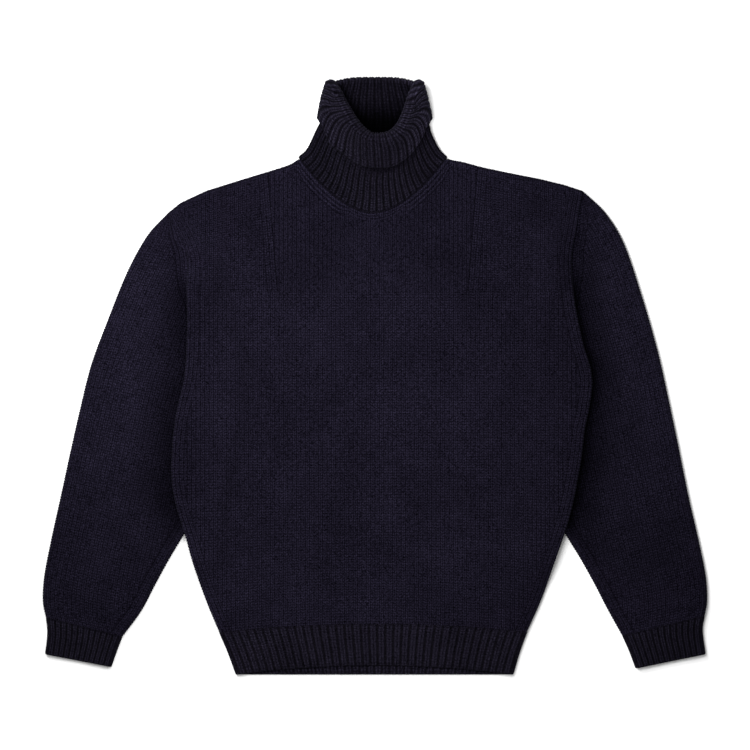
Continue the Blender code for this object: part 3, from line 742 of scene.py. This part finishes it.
sleeve = {
    "folds": [          # along, across, length, width, height
        (0.30, 0.30, 0.16, 0.14, 2.0), (0.52, 0.52, 0.10, 0.20, 2.4),
        (0.72, 0.35, 0.13, 0.16, 1.8), (0.93, 0.50, 0.05, 0.34, 2.6),
    ],
    "tip": 44.0,        # rows shorter than this are drawn together at the shoulder's corner
    "press": 3.2,       # how much lower it lies where the body is on it, and how far from there
    "pressWidth": 24.0,
    "pressY": (165, 110),
    "thinnest": 6.6,
    "bandY": (130, 165),            # the columns along the left armhole show above this
    "shadow": {-1: 0.6, 1: 0.72},   # how much darker it is beside the body, and how far out
    "shadowWidth": 62.0,
    "shadowTop": (90, 190),         # by how much that fades at its top, and where
    "shadowTopFade": 0.6,
    "shadowEnd": (-270, -170),
    "lowShadow": 0.24,              # how much darker it is lower down
    "lowShadowY": (50, -260),
    # painted light: how much lighter each sleeve is made as a whole, the left one more
    "paintedLight": {-1: 1.14, 1: 1.1},
}
foldAngles = np.radians(np.arange(-90, 91, 30))


def alongPath(points, shares):
    reach = np.concatenate([[0], np.cumsum(np.linalg.norm(np.diff(points, axis=0), axis=1))])
    at = np.asarray(shares) * reach[-1]
    return np.stack([np.interp(at, reach, points[:, k]) for k in range(points.shape[1])], -1)


def smoothPath(points, count=600):
    points = np.asarray(points, float)
    knots = np.arange(len(points))
    at = np.linspace(0, knots[-1], count)
    return np.stack([curveAt(knots, points[:, k], at) for k in range(points.shape[1])], -1)


def layersHeight(edge, puff):
    near = np.maximum(np.exp(-((edge / knit["puffReach"]) ** 2)), puff)
    return knit["flat"] + (2 * knit["edgeRadius"] - knit["flat"]) * near, near


def tubeShell(name, spec):
    # a flattened tube. Each line of stitches lies at a distance from the tube's outer fold,
    # at an angle round a fold, or on the layer below, in the order in which it goes round
    kind, place = spec["kind"], spec["place"]
    start, along, width = spec["start"], spec["along"], spec["width"][:, None]
    real = spec["real"][:, None]
    radius = knit["edgeRadius"]
    hole = radius - knit["cloth"]
    shrink = real / width
    c, s = np.cos(place), np.sin(place)
    square = spec["square"][:, None]
    c = np.where(kind == -2, np.abs(c) ** square, c)
    s = np.where(kind == -2, np.sign(s) * np.abs(s) ** square, s)
    onFold = np.abs(kind) == 2
    distance = np.where(kind == 2, radius * (1 - c), width - radius * (1 - c))
    hollow = np.where(kind == 2, radius - hole * c, width - radius + hole * c)
    distance = np.where(onFold, distance, spec["distance"])
    hollow = np.where(onFold, hollow, spec["distance"])
    top = spec["height"]
    z = np.where(onFold, radius * (1 + s), np.where(kind == 1, top, 0))
    layerZ = np.where(kind == 1, top - knit["cloth"], knit["cloth"])
    hollowZ = np.where(onFold, radius + hole * s, layerZ)
    across = np.where(onFold, np.where(kind > 0, -c, c), 0)
    lift = np.where(onFold, s, np.where(kind == 1, 1, -1))
    relief = spec["relief"]
    below = np.where(onFold, np.clip(-s, 0, 1), kind == -1)
    relief = relief - spec["sink"] * below
    squeeze = np.clip(shrink, 0, 1) ** 0.6

    def put(distance, height):
        plan = start[:, None] + along[:, None] * (distance * shrink)[..., None]
        skewed = plan + spec["down"][:, None] * spec["skew"][..., None]
        level = radius + (height - radius) * squeeze
        return np.concatenate([skewed, level[..., None]], -1)

    drawn = spec["drawn"][:, None]
    outer = put(distance + across * (relief - drawn), z + lift * (relief - drawn))
    inner = put(hollow + across * drawn, hollowZ + lift * drawn)
    rowStops, colStops = spec["stops"]
    inner = inner[np.ix_(rowStops, colStops)]
    wales = spec["wales"] + 0 * distance
    uv = np.stack([wales, np.arange(len(width))[:, None] / 2 + 0 * distance], -1)
    return addShell(
        name, outer, inner, uv, relief, rowStops, colStops, closed=True, shade=spec["shade"]
    )


def sleevePiece(name, side):
    table = np.array(sleeveTables["left" if side < 0 else "right"], float)
    armholeY = np.linspace(table[0, 1], table[0, 3], 200)
    armhole = np.stack([sleeveEdge(side, armholeY), armholeY], -1)
    outside = smoothPath(table[:, :2])
    inside = np.vstack([armhole, smoothPath(table[:, 2:])[1:]])
    length = np.linalg.norm(np.diff(outside, axis=0), axis=1).sum()
    rows = 2 * round(length / knit["course"]) + 1
    shares = np.linspace(0, 1, rows)
    start = alongPath(outside, shares)
    end = alongPath(inside, shares)
    real = np.maximum(np.linalg.norm(end - start, axis=1), 1e-6)
    along = (end - start) / real[:, None]
    along[0] = along[1]
    width = np.maximum(real, sleeve["tip"])
    down = np.stack([-along[:, 1], along[:, 0]], -1) * side
    half = knit["wale"] / 2
    count = 2 * math.ceil((width.max() - 20) / knit["wale"])
    first = knit["edgeRadius"] + half * np.arange(1, count + 1)
    band = np.array([d for d, _ in edgeBand[:-5:-1]])
    one = np.ones(len(foldAngles))
    kind = np.concatenate([2 * one, np.ones(count + 4), -2 * one, -np.ones(count + 4), [2]])
    place = np.concatenate([
        foldAngles, first, -band, foldAngles[::-1], -band[::-1], first[::-1], foldAngles[:1]
    ])
    wales = np.concatenate([np.arange(7) / 2, 3 + np.arange(1, count + 1) / 2])
    for step, more in ((1, 4), (0.5, 7), (0.5, 4), (1, count), (0.5, 1)):
        wales = np.concatenate([wales, wales[-1] + step + np.arange(more) / 2])
    limit = width[:, None] - bandWidth
    onLayer = np.abs(kind) == 1
    free = onLayer & (place > 0)
    distance = np.where(place < 0, width[:, None] + place, place)
    capped = free & (distance > limit - 0.7)
    distance = np.where(capped, limit, distance)
    border = onLayer & (place == -bandWidth)
    held = capped | border
    groove = wales % 1 == 0
    ridge = (np.arange(rows) % 2 == 0)[:, None]
    relief = stitchRelief(groove, ridge)
    relief = np.where(held, np.where(ridge, -0.75, knit["seamDip"]), relief)
    inBand = (kind == 1) & (place < 0) & (place > -bandWidth) & (side < 0)
    inBand = inBand * smoothStep(*sleeve["bandY"], end[:, 1:])
    relief = relief + inBand * (np.where(groove, knit["bandGroove"], 0.7) - relief)
    skew = np.where(held, 0.5, groove * 1.0) * knit["rise"] * knit["course"]
    skew = -skew * ((shares > 0) & (shares < 1))[:, None]
    skew *= np.clip(real / width, 0, 1)[:, None]
    edge = np.clip(np.minimum(distance, width[:, None] - distance), 0, None)
    height, near = layersHeight(edge, 0)
    across = distance / width[:, None]
    plan = start[:, None] + along[:, None] * (distance * (real / width)[:, None])[..., None]
    under = side * (bodyEdge(side, plan[..., 1]) - plan[..., 0])
    under = smoothStep(-sleeve["pressWidth"], 2, under)
    under = under * smoothStep(*sleeve["pressY"], plan[..., 1])
    height = np.maximum(height - sleeve["press"] * under, sleeve["thinnest"])
    beside = side * (plan[..., 0] - bodyEdge(side, plan[..., 1]))
    beside = np.minimum(beside, 0.9 * (width[:, None] - distance))
    topFade = sleeve["shadowTopFade"] * smoothStep(*sleeve["shadowTop"], plan[..., 1])
    dark = sleeve["shadow"][side] * (1 - topFade)
    dark = dark * smoothStep(*sleeve["shadowEnd"], plan[..., 1])
    shade = 1 - dark * smoothStep(sleeve["shadowWidth"], -4, beside)
    lower = smoothStep(*sleeve["lowShadowY"], plan[..., 1])
    shade = shade * (1 - sleeve["lowShadow"] * lower)
    # painted light: the whole sleeve made lighter
    shade = shade * sleeve["paintedLight"][side]
    for at, over, long, broad, high in sleeve["folds"]:
        far = ((shares[:, None] - at) / long) ** 2 + ((across - over) / broad) ** 2
        height = height + high * np.exp(-far) * (1 - near)
    named = (3, 6, 6 + count, count + 10, count + 14, count + 17, count + 21)
    spec = {
        "kind": kind, "place": np.where(np.abs(kind) == 2, place, 0), "start": start,
        "along": along, "width": width, "real": real, "distance": distance,
        "height": height, "relief": relief, "sink": knit["crest"], "down": -down,
        "skew": skew, "drawn": np.zeros(rows), "wales": wales,
        "square": 0.3 + 0.7 * smoothStep(150, 60, end[:, 1]), "shade": shade,
        "stops": (stopsOf(rows, 6, 2), stopsOf(len(kind), 6, 1, named)),
    }
    return tubeShell(name, spec)


sleeveLeft = sleevePiece("left_sleeve_knit", -1)
sleeveRight = sleevePiece("right_sleeve_knit", 1)


def cuffPiece(name, side):
    table = np.array(cuffTables["left" if side < 0 else "right"], float)
    outside, inside = smoothPath(table[:, :2]), smoothPath(table[:, 2:])
    length = np.linalg.norm(np.diff(outside, axis=0), axis=1).sum()
    rows = 2 * round(length / knit["course"]) + 1
    shares = np.concatenate([np.linspace(0.006, 1, rows)[:-1], [0.984, 0.993, 1.0]])
    start = alongPath(outside, shares)
    end = alongPath(inside, shares)
    width = np.linalg.norm(end - start, axis=1)
    along = (end - start) / width[:, None]
    down = np.stack([along[:, 1], -along[:, 0]], -1) * side
    lines = np.append(ribLines(rib["cuffCount"]), rib["cuffCount"])
    share = rib["cuffPlain"] + (1 - 2 * rib["cuffPlain"]) * lines / rib["cuffCount"]
    one = np.ones(len(foldAngles))
    count = len(lines)
    kind = np.concatenate([2 * one, np.ones(count), -2 * one, -np.ones(count), [2]])
    place = np.concatenate([
        foldAngles, np.zeros(count), foldAngles[::-1], np.zeros(count), foldAngles[:1]
    ])
    layer = np.concatenate([0 * one, share, 0 * one, share[::-1], [0]])
    allLines = np.concatenate([0 * one, lines, 0 * one, lines, [0]])
    wales = np.concatenate([
        np.arange(7) / 7 - 1, lines, rib["cuffCount"] + np.arange(1, 8) / 8,
        rib["cuffCount"] + 1 + lines, [2 * rib["cuffCount"] + 2]
    ])
    onLayer = np.abs(kind) == 1
    ridge = (np.arange(len(shares)) % 2 == 0)[:, None]
    fade = smoothStep(0.0, 0.06, shares)[:, None]
    foldRelief = np.array([-0.3, 0.3, -0.3, 0.3, -0.3, 0.3, -0.3])
    relief = ribRelief(allLines, ridge)
    relief[:, :7] = foldRelief
    relief[:, count + 7:count + 14] = foldRelief
    relief = relief * fade * (1 - 0.6 * smoothStep(0.96, 1, shares)[:, None])
    distance = layer * width[:, None]
    edge = np.minimum(distance, width[:, None] - distance)
    height, _ = layersHeight(np.clip(edge, 0, None), rib["cuffPuff"])
    skew = np.where(onLayer, ribSkew(allLines), 0)
    skew = -skew * ((shares > 0.05) & (shares < 0.97))[:, None]
    distanceLeft = (1 - shares) * length
    named = (3, 6, 7, count + 6, count + 7, count + 10, count + 13, count + 14)
    spec = {
        "kind": kind, "place": place, "start": start, "along": along, "width": width,
        "real": width, "distance": distance, "height": height, "relief": relief,
        "sink": rib["pressed"], "down": down, "skew": skew,
        "drawn": roundedEnd(distanceLeft, knit["cloth"]), "wales": wales,
        "square": np.ones(len(shares)), "shade": rib["cuffShade"][side],
        "stops": (stopsOf(len(shares), 4, 4), stopsOf(len(kind), 8, 1, named)),
    }
    return tubeShell(name, spec)


cuffLeft = cuffPiece("left_cuff_rib", -1)
cuffRight = cuffPiece("right_cuff_rib", 1)


# Collar: a tube of rib, its upper part turned down outside

collar = {
    # share of its height; left, right; side y, z; front y, z; back y, z; bend left, right
    "rings": [
        (0.00, -101.1, 95.2, 289, 8.4, 216.2, 8.4, 272.8, 1.6, 1.8, 1.8),
        (0.20, -89, 84, 300, 10, 236, 10.4, 296, 2.2, 1.7, 1.9),
        (0.40, -78, 73, 322, 12.4, 257, 16.5, 321, 4.2, 1.55, 2.0),
        (0.58, -70, 69, 340, 15.2, 275, 22, 342, 6.2, 1.45, 2.15),
        (0.80, -62, 60.5, 363, 19.4, 296, 29.5, 367, 9.3, 1.48, 2.45),
        (1.00, -53.5, 52.5, 382.5, 23.5, 314, 36, 389.8, 11.6, 1.64, 3.1),
    ],
    "front": 23,            # ribs on its front, back and each side
    "back": 11,
    "side": 3,
    "backBendGrowth": 1.5,
    "flapLength": 0.42,     # of the stand's height
    "flapLongest": 0.13,
    "flapOff": 1.7,         # how much further off the stand its front is, and at the fold
    "foldOff": 3.3,
    # ribs, and by how much of the stand's height the flap is longer there
    "flapLonger": [
        (0, 0.05), (2.5, 0.13), (5, 0.075), (8, 0.05), (11.5, -0.03), (14, 0.01),
        (16, 0.04), (19, 0.08), (21.5, 0.08), (23, 0.05), (25, 0), (38, 0), (40, 0.05),
    ],
    "standRows": 58,
    "flapRows": 26,
    # ribs from the front's middle, and by how many the flap's ribs part there on their way
    "parted": [
        (0, 0), (1.5, 0.3), (3, 1.2), (4.5, 2.6), (6.5, 4.2), (8.5, 4.7), (11.5, 3.9),
        (16, 1.8), (20, 0),
    ],
    "partedTurn": 1.8,      # how soon they part on their way down
    "foldRows": 8,
    "foldShare": 0.12,      # of that way, round the fold
    "flapDrop": 44.0,       # length of the flap
    "sideRibs": 1.5,        # ribs past the front that still show on the stand
    "coveredFrom": (0.44, 0.56),    # where the flap covers the stand's ribs
    # painted shade on the stand under the flap: how light it is in its middle, and how much
    # darker 80 mm out
    "standShade": 0.66,
    "standLeft": 0.2,
    "standRight": 0.13,
    "shadeReach": 80,
    "underFlapShade": 0.8,
    # painted shade inside the neck: deep down, how much lighter at its mouth, and its darker
    # sides
    "throatShade": 0.04,
    "mouthShade": 0.41,
    "mouthY": (334, 376),
    "insideDark": 0.6,
    "insideDarkX": (30, 52),
    "insideMiddle": 2,
    # painted light on the flap: its shade at its left, how much lighter at its right, and how
    # much more its ribs show by painted shade in their grooves and painted highlight on their
    # crests
    "flapShade": 0.68,
    "flapRight": 0.34,
    "flapRightX": (5, 55),
    "flapContrast": 0.75,
    "flapContrastX": (22, 46),
}
ribTotal = collar["front"] + collar["back"] + 2 * collar["side"]


def collarRing(at, lines):
    # points of the middle of the stand's wall at a share of its height
    knots = [r[0] for r in collar["rings"]]
    values = [curveAt(knots, [r[k] for r in collar["rings"]], at) for k in range(1, 11)]
    left, right, sideY, sideZ, frontY, frontZ, backY, backZ, bendLeft, bendRight = values
    half = (right - left) / 2
    radius = (sideZ - backZ) / 2
    backBend = body["backNeckBend"] + collar["backBendGrowth"] * at

    def frontPoint(x):
        bend = np.where(x < 0, bendLeft, bendRight)
        y = frontY + (sideY - frontY) * np.abs(x / half) ** bend
        u = np.clip(np.abs(x) / (half - radius), 0, 1)
        return y, frontZ + (sideZ - frontZ) * u ** 2

    def backPoint(x):
        return backY + (sideY - backY) * np.abs(x / half) ** backBend

    lines = lines % ribTotal
    run = np.linspace(-1, 1, 161) * (half - radius)
    frontRun = np.column_stack([run, *frontPoint(run)])
    backRun = np.column_stack([-run, backPoint(-run), np.full(161, backZ)])
    frontEnd = collar["front"]
    backStart = frontEnd + collar["side"]
    backEnd = backStart + collar["back"]
    onFront = alongPath(frontRun, np.clip(lines / frontEnd, 0, 1))
    onBack = alongPath(backRun, np.clip((lines - backStart) / collar["back"], 0, 1))
    turn = np.where(lines < backEnd, lines - frontEnd, ribTotal - lines) / collar["side"]
    angle = np.radians(90 - 180 * np.clip(turn, 0, 1))
    arcX = half - radius + radius * np.cos(angle)
    arcX = arcX * np.where(lines < backEnd, 1, -1)
    arcY = np.where(angle > 0, frontPoint(arcX)[0], backPoint(arcX))
    onSide = np.column_stack([arcX, arcY, backZ + radius * (1 + np.sin(angle))])
    isFront = (lines < frontEnd)[:, None]
    isBack = ((lines >= backStart) & (lines < backEnd))[:, None]
    points = np.where(isFront, onFront, np.where(isBack, onBack, onSide))
    upper = np.clip((points[:, 2] - backZ) / (frontZ - backZ), 0, 1)
    off = collar["flapOff"] + collar["foldOff"] * smoothStep(0.5, 1, at)
    gap = backZ - knit["cloth"] / 2 + off * np.sqrt(upper)
    return points + np.array([(left + right) / 2, 0, 0]), gap[:, None]


def unit(vectors):
    return vectors / np.linalg.norm(vectors, axis=-1, keepdims=True)


def collarFrame(at, lines):
    points, gap = collarRing(at, lines)
    around = unit(collarRing(at, lines + 0.25)[0] - collarRing(at, lines - 0.25)[0])
    above = collarRing(min(at + 0.02, 1), lines)[0]
    up = unit(above - collarRing(max(at - 0.02, 0), lines)[0])
    out = unit(np.cross(around, up))
    return points, out, np.cross(out, around), gap


def flapFrame(down, lines):
    # the same on the flap, whose length differs round the tube
    high = collarFrame(1 - down * collar["flapLength"], lines)
    low = collarFrame(1 - down * (collar["flapLength"] + collar["flapLongest"]), lines)
    longer = np.array(collar["flapLonger"])
    share = np.interp(lines % ribTotal, longer[:, 0], longer[:, 1])[:, None]
    return [a + (b - a) * share / collar["flapLongest"] for a, b in zip(high, low)]


def collarPiece():
    lines = ribLines(ribTotal)
    half = ribTotal / 2
    turn = (lines - collar["front"] / 2 + half) % ribTotal - half
    parted = np.sign(turn) * curveAt(*zip(*collar["parted"]), np.abs(turn))
    shows = lines < collar["front"] + collar["sideRibs"]
    shows |= lines > ribTotal - collar["sideRibs"]
    points, outs, outside, inside, skews = [], [], [], [], []
    row = 0
    for at in np.linspace(0, 1, collar["standRows"] + 1):
        place, out, over, _ = collarFrame(at, lines)
        ridge = row % 2 == 0
        ribs = ribRelief(lines, ridge)
        edge = smoothStep(0, 0.03, at)
        uncovered = ribs * (1 - smoothStep(*collar["coveredFrom"], at))
        outer = np.where(shows, uncovered, np.minimum(ribs - rib["pressed"], 0))
        outside.append(outer * edge)
        inner = np.where(shows, smoothStep(0.93, 1.0, at), smoothStep(0.3, 0.5, at))
        inside.append(ribRelief(lines + 0.5, ridge) * inner)
        points.append(place)
        outs.append(out)
        skews.append(over * (ribSkew(lines) * edge * (at < 0.99))[:, None])
        row += 1
    foldSteps = np.linspace(0, 180, collar["foldRows"] + 2)[1:-1]
    for angle in np.radians(foldSteps):
        share = angle / math.pi * collar["foldShare"]
        moved = lines + parted * math.sin(collar["partedTurn"] * share)
        place, out, over, gap = collarFrame(1.0, moved)
        ridge = row % 2 == 0
        swing = over * math.sin(angle) - out * math.cos(angle)
        points.append(place + out * gap / 2 + swing * gap / 2)
        outs.append(out * math.cos(angle) - over * math.sin(angle))
        outside.append(0 * lines)
        inside.append(ribRelief(lines + 0.5, ridge))
        skews.append(0 * place)
        row += 1
    downs = np.linspace(0, 1, collar["flapRows"] + 1)
    downs = np.concatenate([downs[:-1], [0.975, 0.99, 1.0]])
    for down in downs:
        share = collar["foldShare"] + (1 - collar["foldShare"]) * down
        moved = lines + parted * math.sin(collar["partedTurn"] * share)
        place, out, over, gap = flapFrame(down, moved)
        ridge = row % 2 == 0
        drawn = roundedEnd((1 - down) * collar["flapDrop"], knit["cloth"])
        points.append(place + out * gap)
        outs.append(-out)
        outside.append(0 * lines - drawn)
        fade = 1 - 0.6 * smoothStep(0.95, 1, down)
        inside.append(ribRelief(lines + 0.5, ridge) * fade - drawn)
        skews.append(over * (ribSkew(lines + 0.5) * (down < 0.95))[:, None])
        row += 1
    points, outs, skews = np.array(points), np.array(outs), np.array(skews)
    outside, inside = np.array(outside), np.array(inside)
    half = knit["cloth"] / 2
    stand = np.arange(len(points)) <= collar["standRows"]
    x = points[..., 0]
    # painted shade on the stand under the flap, darker towards its sides
    toLeft = np.clip(-x / collar["shadeReach"], 0, 1)
    toRight = np.clip(x / collar["shadeReach"], 0, 1)
    shade = collar["standShade"] - collar["standLeft"] * toLeft - collar["standRight"] * toRight
    shade = np.where(stand[:, None], shade, collar["underFlapShade"])
    # painted shade down inside the neck, and more of it at its sides
    mouth = smoothStep(*collar["mouthY"], points[..., 1])
    innerShade = collar["throatShade"] + collar["mouthShade"] * mouth
    sides = smoothStep(*collar["insideDarkX"], np.abs(x - collar["insideMiddle"]))
    innerShade = innerShade * (1 - collar["insideDark"] * sides)
    crests = np.clip((inside + 0.5) / 1.7, 0, 1) - 0.55     # from a groove up to a crest
    # painted light on the flap: lighter to the right, with painted highlight on the ribs' crests
    # and painted shade in their grooves at its sides
    flapShade = collar["flapShade"] + collar["flapRight"] * smoothStep(*collar["flapRightX"], x)
    sides = smoothStep(*collar["flapContrastX"], np.abs(x))
    flapShade = flapShade * (1 + collar["flapContrast"] * crests * sides)
    innerShade = np.where(stand[:, None], innerShade, flapShade)
    outer = points + outs * (half + outside)[..., None] + skews
    inner = points - outs * (half + inside)[..., None] + skews
    inner[..., 2] = np.maximum(inner[..., 2], 0)    # it rests flat
    count = len(points)
    uv = np.stack([lines + 0 * outside, np.arange(count)[:, None] / 2 + 0 * outside], -1)

    def closeUp(part):
        return np.concatenate([part, part[:, :1]], 1)

    outer, inner, depth = closeUp(outer), closeUp(inner), closeUp(outside)
    look = {
        "innerDepth": closeUp(inside), "shade": closeUp(shade),
        "innerShade": closeUp(innerShade),
    }
    uv = closeUp(uv)
    uv[:, -1, 0] = ribTotal
    stops = (list(range(count)), list(range(len(lines) + 1)))
    return addShell("collar_rib", outer, inner, uv, depth, *stops, closed=True, **look)


collarKnit = collarPiece()


# Wool

def linear(code):
    # an sRGB hex colour turned linear
    parts = [int(code[k:k + 2], 16) / 255 for k in (1, 3, 5)]
    return [c / 12.92 if c <= 0.04045 else ((c + 0.055) / 1.055) ** 2.4 for c in parts] + [1]


def addNode(tree, kind, settings=None, links=None):
    node = tree.nodes.new(kind)
    for key, value in (settings or {}).items():
        if isinstance(key, int) or key in node.inputs:
            node.inputs[key].default_value = value
        else:
            setattr(node, key, value)
    for key, source in (links or {}).items():
        tree.links.new(source, node.inputs[key])
    return node


def woolMaterial(name, look):
    material = bpy.data.materials.new(name)
    material.use_nodes = True
    tree = material.node_tree
    shader = tree.nodes["Principled BSDF"]
    shader.inputs["Roughness"].default_value = look["roughness"]
    shader.inputs["Specular IOR Level"].default_value = 0.0
    shader.inputs["Sheen Weight"].default_value = look["sheen"]
    shader.inputs["Sheen Roughness"].default_value = 0.5
    shader.inputs["Sheen Tint"].default_value = linear("#b9b6cc")
    place = addNode(tree, "ShaderNodeTexCoord")
    # painted shade and highlight: the colour goes from dark in the stitches' grooves to light on
    # their crests, by their depth
    depth = addNode(tree, "ShaderNodeAttribute", {"attribute_name": "depth"})
    level = addNode(tree, "ShaderNodeMapRange", {
        "From Min": look["low"], "From Max": look["high"], "To Min": 0.0, "To Max": 1.0,
    }, {"Value": depth.outputs["Fac"]})
    shade = addNode(tree, "ShaderNodeValToRGB", links={"Fac": level.outputs["Result"]})
    ramp = shade.color_ramp
    ramp.elements[0].color = linear(look["groove"])
    ramp.elements[1].color = linear(look["crest"])
    middle = ramp.elements.new(0.5)
    middle.color = linear(look["middle"])
    strength = addNode(tree, "ShaderNodeAttribute", {"attribute_name": "shade"}).outputs["Fac"]
    # painted shade between a stitch's two legs and between its rows, lightest along each leg
    stitches = addNode(tree, "ShaderNodeUVMap", {"uv_map": "stitches"})
    spot = addNode(tree, "ShaderNodeSeparateXYZ", links={"Vector": stitches.outputs["UV"]})
    legs = addNode(tree, "ShaderNodeMath", {"operation": "PINGPONG", 1: look["leg"]}, {
        0: spot.outputs["X"],
    })
    across = addNode(tree, "ShaderNodeMapRange", {
        "From Min": 0.0, "From Max": look["leg"], "To Min": look["between"], "To Max": 1.0,
    }, {"Value": legs.outputs["Value"]})
    rows = addNode(tree, "ShaderNodeMath", {"operation": "PINGPONG", 1: 0.5}, {
        0: spot.outputs["Y"],
    })
    along = addNode(tree, "ShaderNodeMapRange", {
        "From Min": 0.0, "From Max": 0.5, "To Min": look["lit"], "To Max": look["lit"] * 0.66,
    }, {"Value": rows.outputs["Value"]})
    for side in (across, along):
        strength = addNode(tree, "ShaderNodeMath", {"operation": "MULTIPLY"}, {
            0: strength, 1: side.outputs["Result"],
        }).outputs["Value"]
    for scale, detail, low, high in look["noises"]:
        noise = addNode(tree, "ShaderNodeTexNoise", {"Scale": scale, "Detail": detail}, {
            "Vector": place.outputs["Object"],
        })
        factor = addNode(tree, "ShaderNodeMapRange", {
            "From Min": 0.3, "From Max": 0.7, "To Min": low, "To Max": high,
        }, {"Value": noise.outputs["Fac"]}).outputs["Result"]
        strength = addNode(tree, "ShaderNodeMath", {"operation": "MULTIPLY"}, {
            0: strength, 1: factor,
        }).outputs["Value"]
    tinted = addNode(tree, "ShaderNodeVectorMath", {"operation": "SCALE"}, {
        0: shade.outputs["Color"], "Scale": strength,
    })
    tree.links.new(tinted.outputs["Vector"], shader.inputs["Base Color"])
    bump = addNode(tree, "ShaderNodeBump", {"Strength": 0.5, "Distance": 0.0005}, {
        "Height": noise.outputs["Fac"],
    })
    tree.links.new(bump.outputs["Normal"], shader.inputs["Normal"])
    return material


yarn = {                # thick woollen yarn, matt and slightly hairy
    # colours: painted shade in a groove, the wool between, and a painted highlight on a crest
    "groove": "#050408",
    "middle": "#0f0d16",
    "crest": "#16141f",
    "low": -1.3,            # depths in mm at which the grooves' painted shade and the crests' painted highlight lie
    "high": 0.8,
    "roughness": 0.95,
    "sheen": 0.03,
    "leg": 0.25,            # width of a stitch's leg in columns, and how dark the painted shade between two legs is
    "between": 0.4,
    # scale, detail, darkest, lightest: blotches of 90 mm, patches of 18 mm, flecks of 1.5 mm,
    # and fibres, too fine to show and so drawn 0.45 mm across
    "noises": [
        (11.0, 3.0, 0.85, 1.15), (55.0, 2.0, 0.9, 1.1), (680.0, 2.0, 0.06, 2.08),
        (2200.0, 2.0, 0.6, 1.4),
    ],
}
plainWool = woolMaterial("navy wool, plain knit", {**yarn, "lit": 1.6})
fineWool = woolMaterial("navy wool, finer knit", {**yarn, "roughness": 0.93, "lit": 1.48})
ribWool = woolMaterial("navy wool, rib", {              # one by one rib: deeper and rounder, with its own painted shade in the grooves and painted highlight on the crests
    **yarn, "groove": "#08070a", "middle": "#0f0d15", "crest": "#1b1923",
    "low": -0.5, "high": 1.2, "leg": 0.5, "between": 0.9, "lit": 1.4,
})


# What each piece is

table = [
    # piece, node, wool, slot, width, length, area, what it lies on
    (front, "front", plainWool, "plain_knit", 0.56, 0.61, 0.285, ["back"]),
    (back, "back", plainWool, "plain_knit", 0.56, 0.62, 0.315, []),
    (sleeveLeft, "sleeve_left", plainWool, "plain_knit", 0.42, 0.57, 0.157, []),
    (sleeveRight, "sleeve_right", plainWool, "plain_knit", 0.40, 0.60, 0.152, []),
    (patchLeft, "shoulder_patch_left", fineWool, "fine_knit", 0.145, 0.16, 0.018, ["back"]),
    (patchRight, "shoulder_patch_right", fineWool, "fine_knit", 0.152, 0.168, 0.0213, ["back"]),
    (collarKnit, "collar", ribWool, "rib_knit", 0.40, 0.17, 0.06, ["back"]),
    (hemFront, "hem_rib_front", ribWool, "rib_knit", 0.40, 0.06, 0.022, ["hem_rib_back"]),
    (hemBack, "hem_rib_back", ribWool, "rib_knit", 0.40, 0.07, 0.026, []),
    (cuffLeft, "cuff_left", ribWool, "rib_knit", 0.21, 0.05, 0.010, []),
    (cuffRight, "cuff_right", ribWool, "rib_knit", 0.21, 0.05, 0.010, []),
]
for piece, node, wool, slot, width, length, area, under in table:
    piece.data.materials.append(wool)
    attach(piece, "root")
    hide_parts(node)
    size = sum(p.area for p in piece.data.polygons) / 2
    print(piece.name, "half surface", round(size, 4), "cut", area)


# Floor, lights and camera

studio = {
    "floorSize": 12,
    "floorZ": -0.0002,          # just under the sweater
    "paper": "#f3f3f3",
    "paperRoughness": 0.9,
    "sky": "#ffffff",
    "skyStrength": 0.5,
    # name, place, size, power
    "lamps": [("key", (-0.8, 0.85, 1.2), 0.6, 26), ("overhead", (-0.1, 0.05, 1.1), 0.5, 13)],
    "cameraPlace": (0, 0.0007, 6.0),
    "sensor": 36,
    "seenFrom": 5.99,           # height of the camera over the cloth's upper face
    "seenWidth": 0.9975,        # width of the picture there
}
bpy.ops.mesh.primitive_plane_add(size=studio["floorSize"], location=(0, 0, studio["floorZ"]))
floor = bpy.context.object
floor.name = "floor"
paper = bpy.data.materials.new("white paper")       # plain matt backdrop
paper.use_nodes = True
paperShader = paper.node_tree.nodes["Principled BSDF"]
paperShader.inputs["Base Color"].default_value = linear(studio["paper"])
paperShader.inputs["Roughness"].default_value = studio["paperRoughness"]
floor.data.materials.append(paper)

world = bpy.data.worlds.new("studio")
bpy.context.scene.world = world
world.use_nodes = True
sky = world.node_tree.nodes["Background"]
sky.inputs["Color"].default_value = linear(studio["sky"])
sky.inputs["Strength"].default_value = studio["skyStrength"]


def addLamp(name, place, size, power):
    bpy.ops.object.light_add(type="AREA", location=place)
    lamp = bpy.context.object
    lamp.name = name
    lamp.data.size = size
    lamp.data.energy = power
    aim = -lamp.location        # at the middle of the sweater
    lamp.rotation_euler = aim.to_track_quat("-Z", "Y").to_euler()
    lamp.visible_camera = False


for lamp in studio["lamps"]:
    addLamp(*lamp)
print("lamps:", len(studio["lamps"]))

bpy.ops.object.camera_add(location=studio["cameraPlace"], rotation=(0, 0, 0))
camera = bpy.context.object
camera.data.sensor_width = studio["sensor"]
camera.data.lens = studio["sensor"] * studio["seenFrom"] / studio["seenWidth"]
bpy.context.scene.camera = camera
bpy.context.scene.view_settings.view_transform = "Standard"
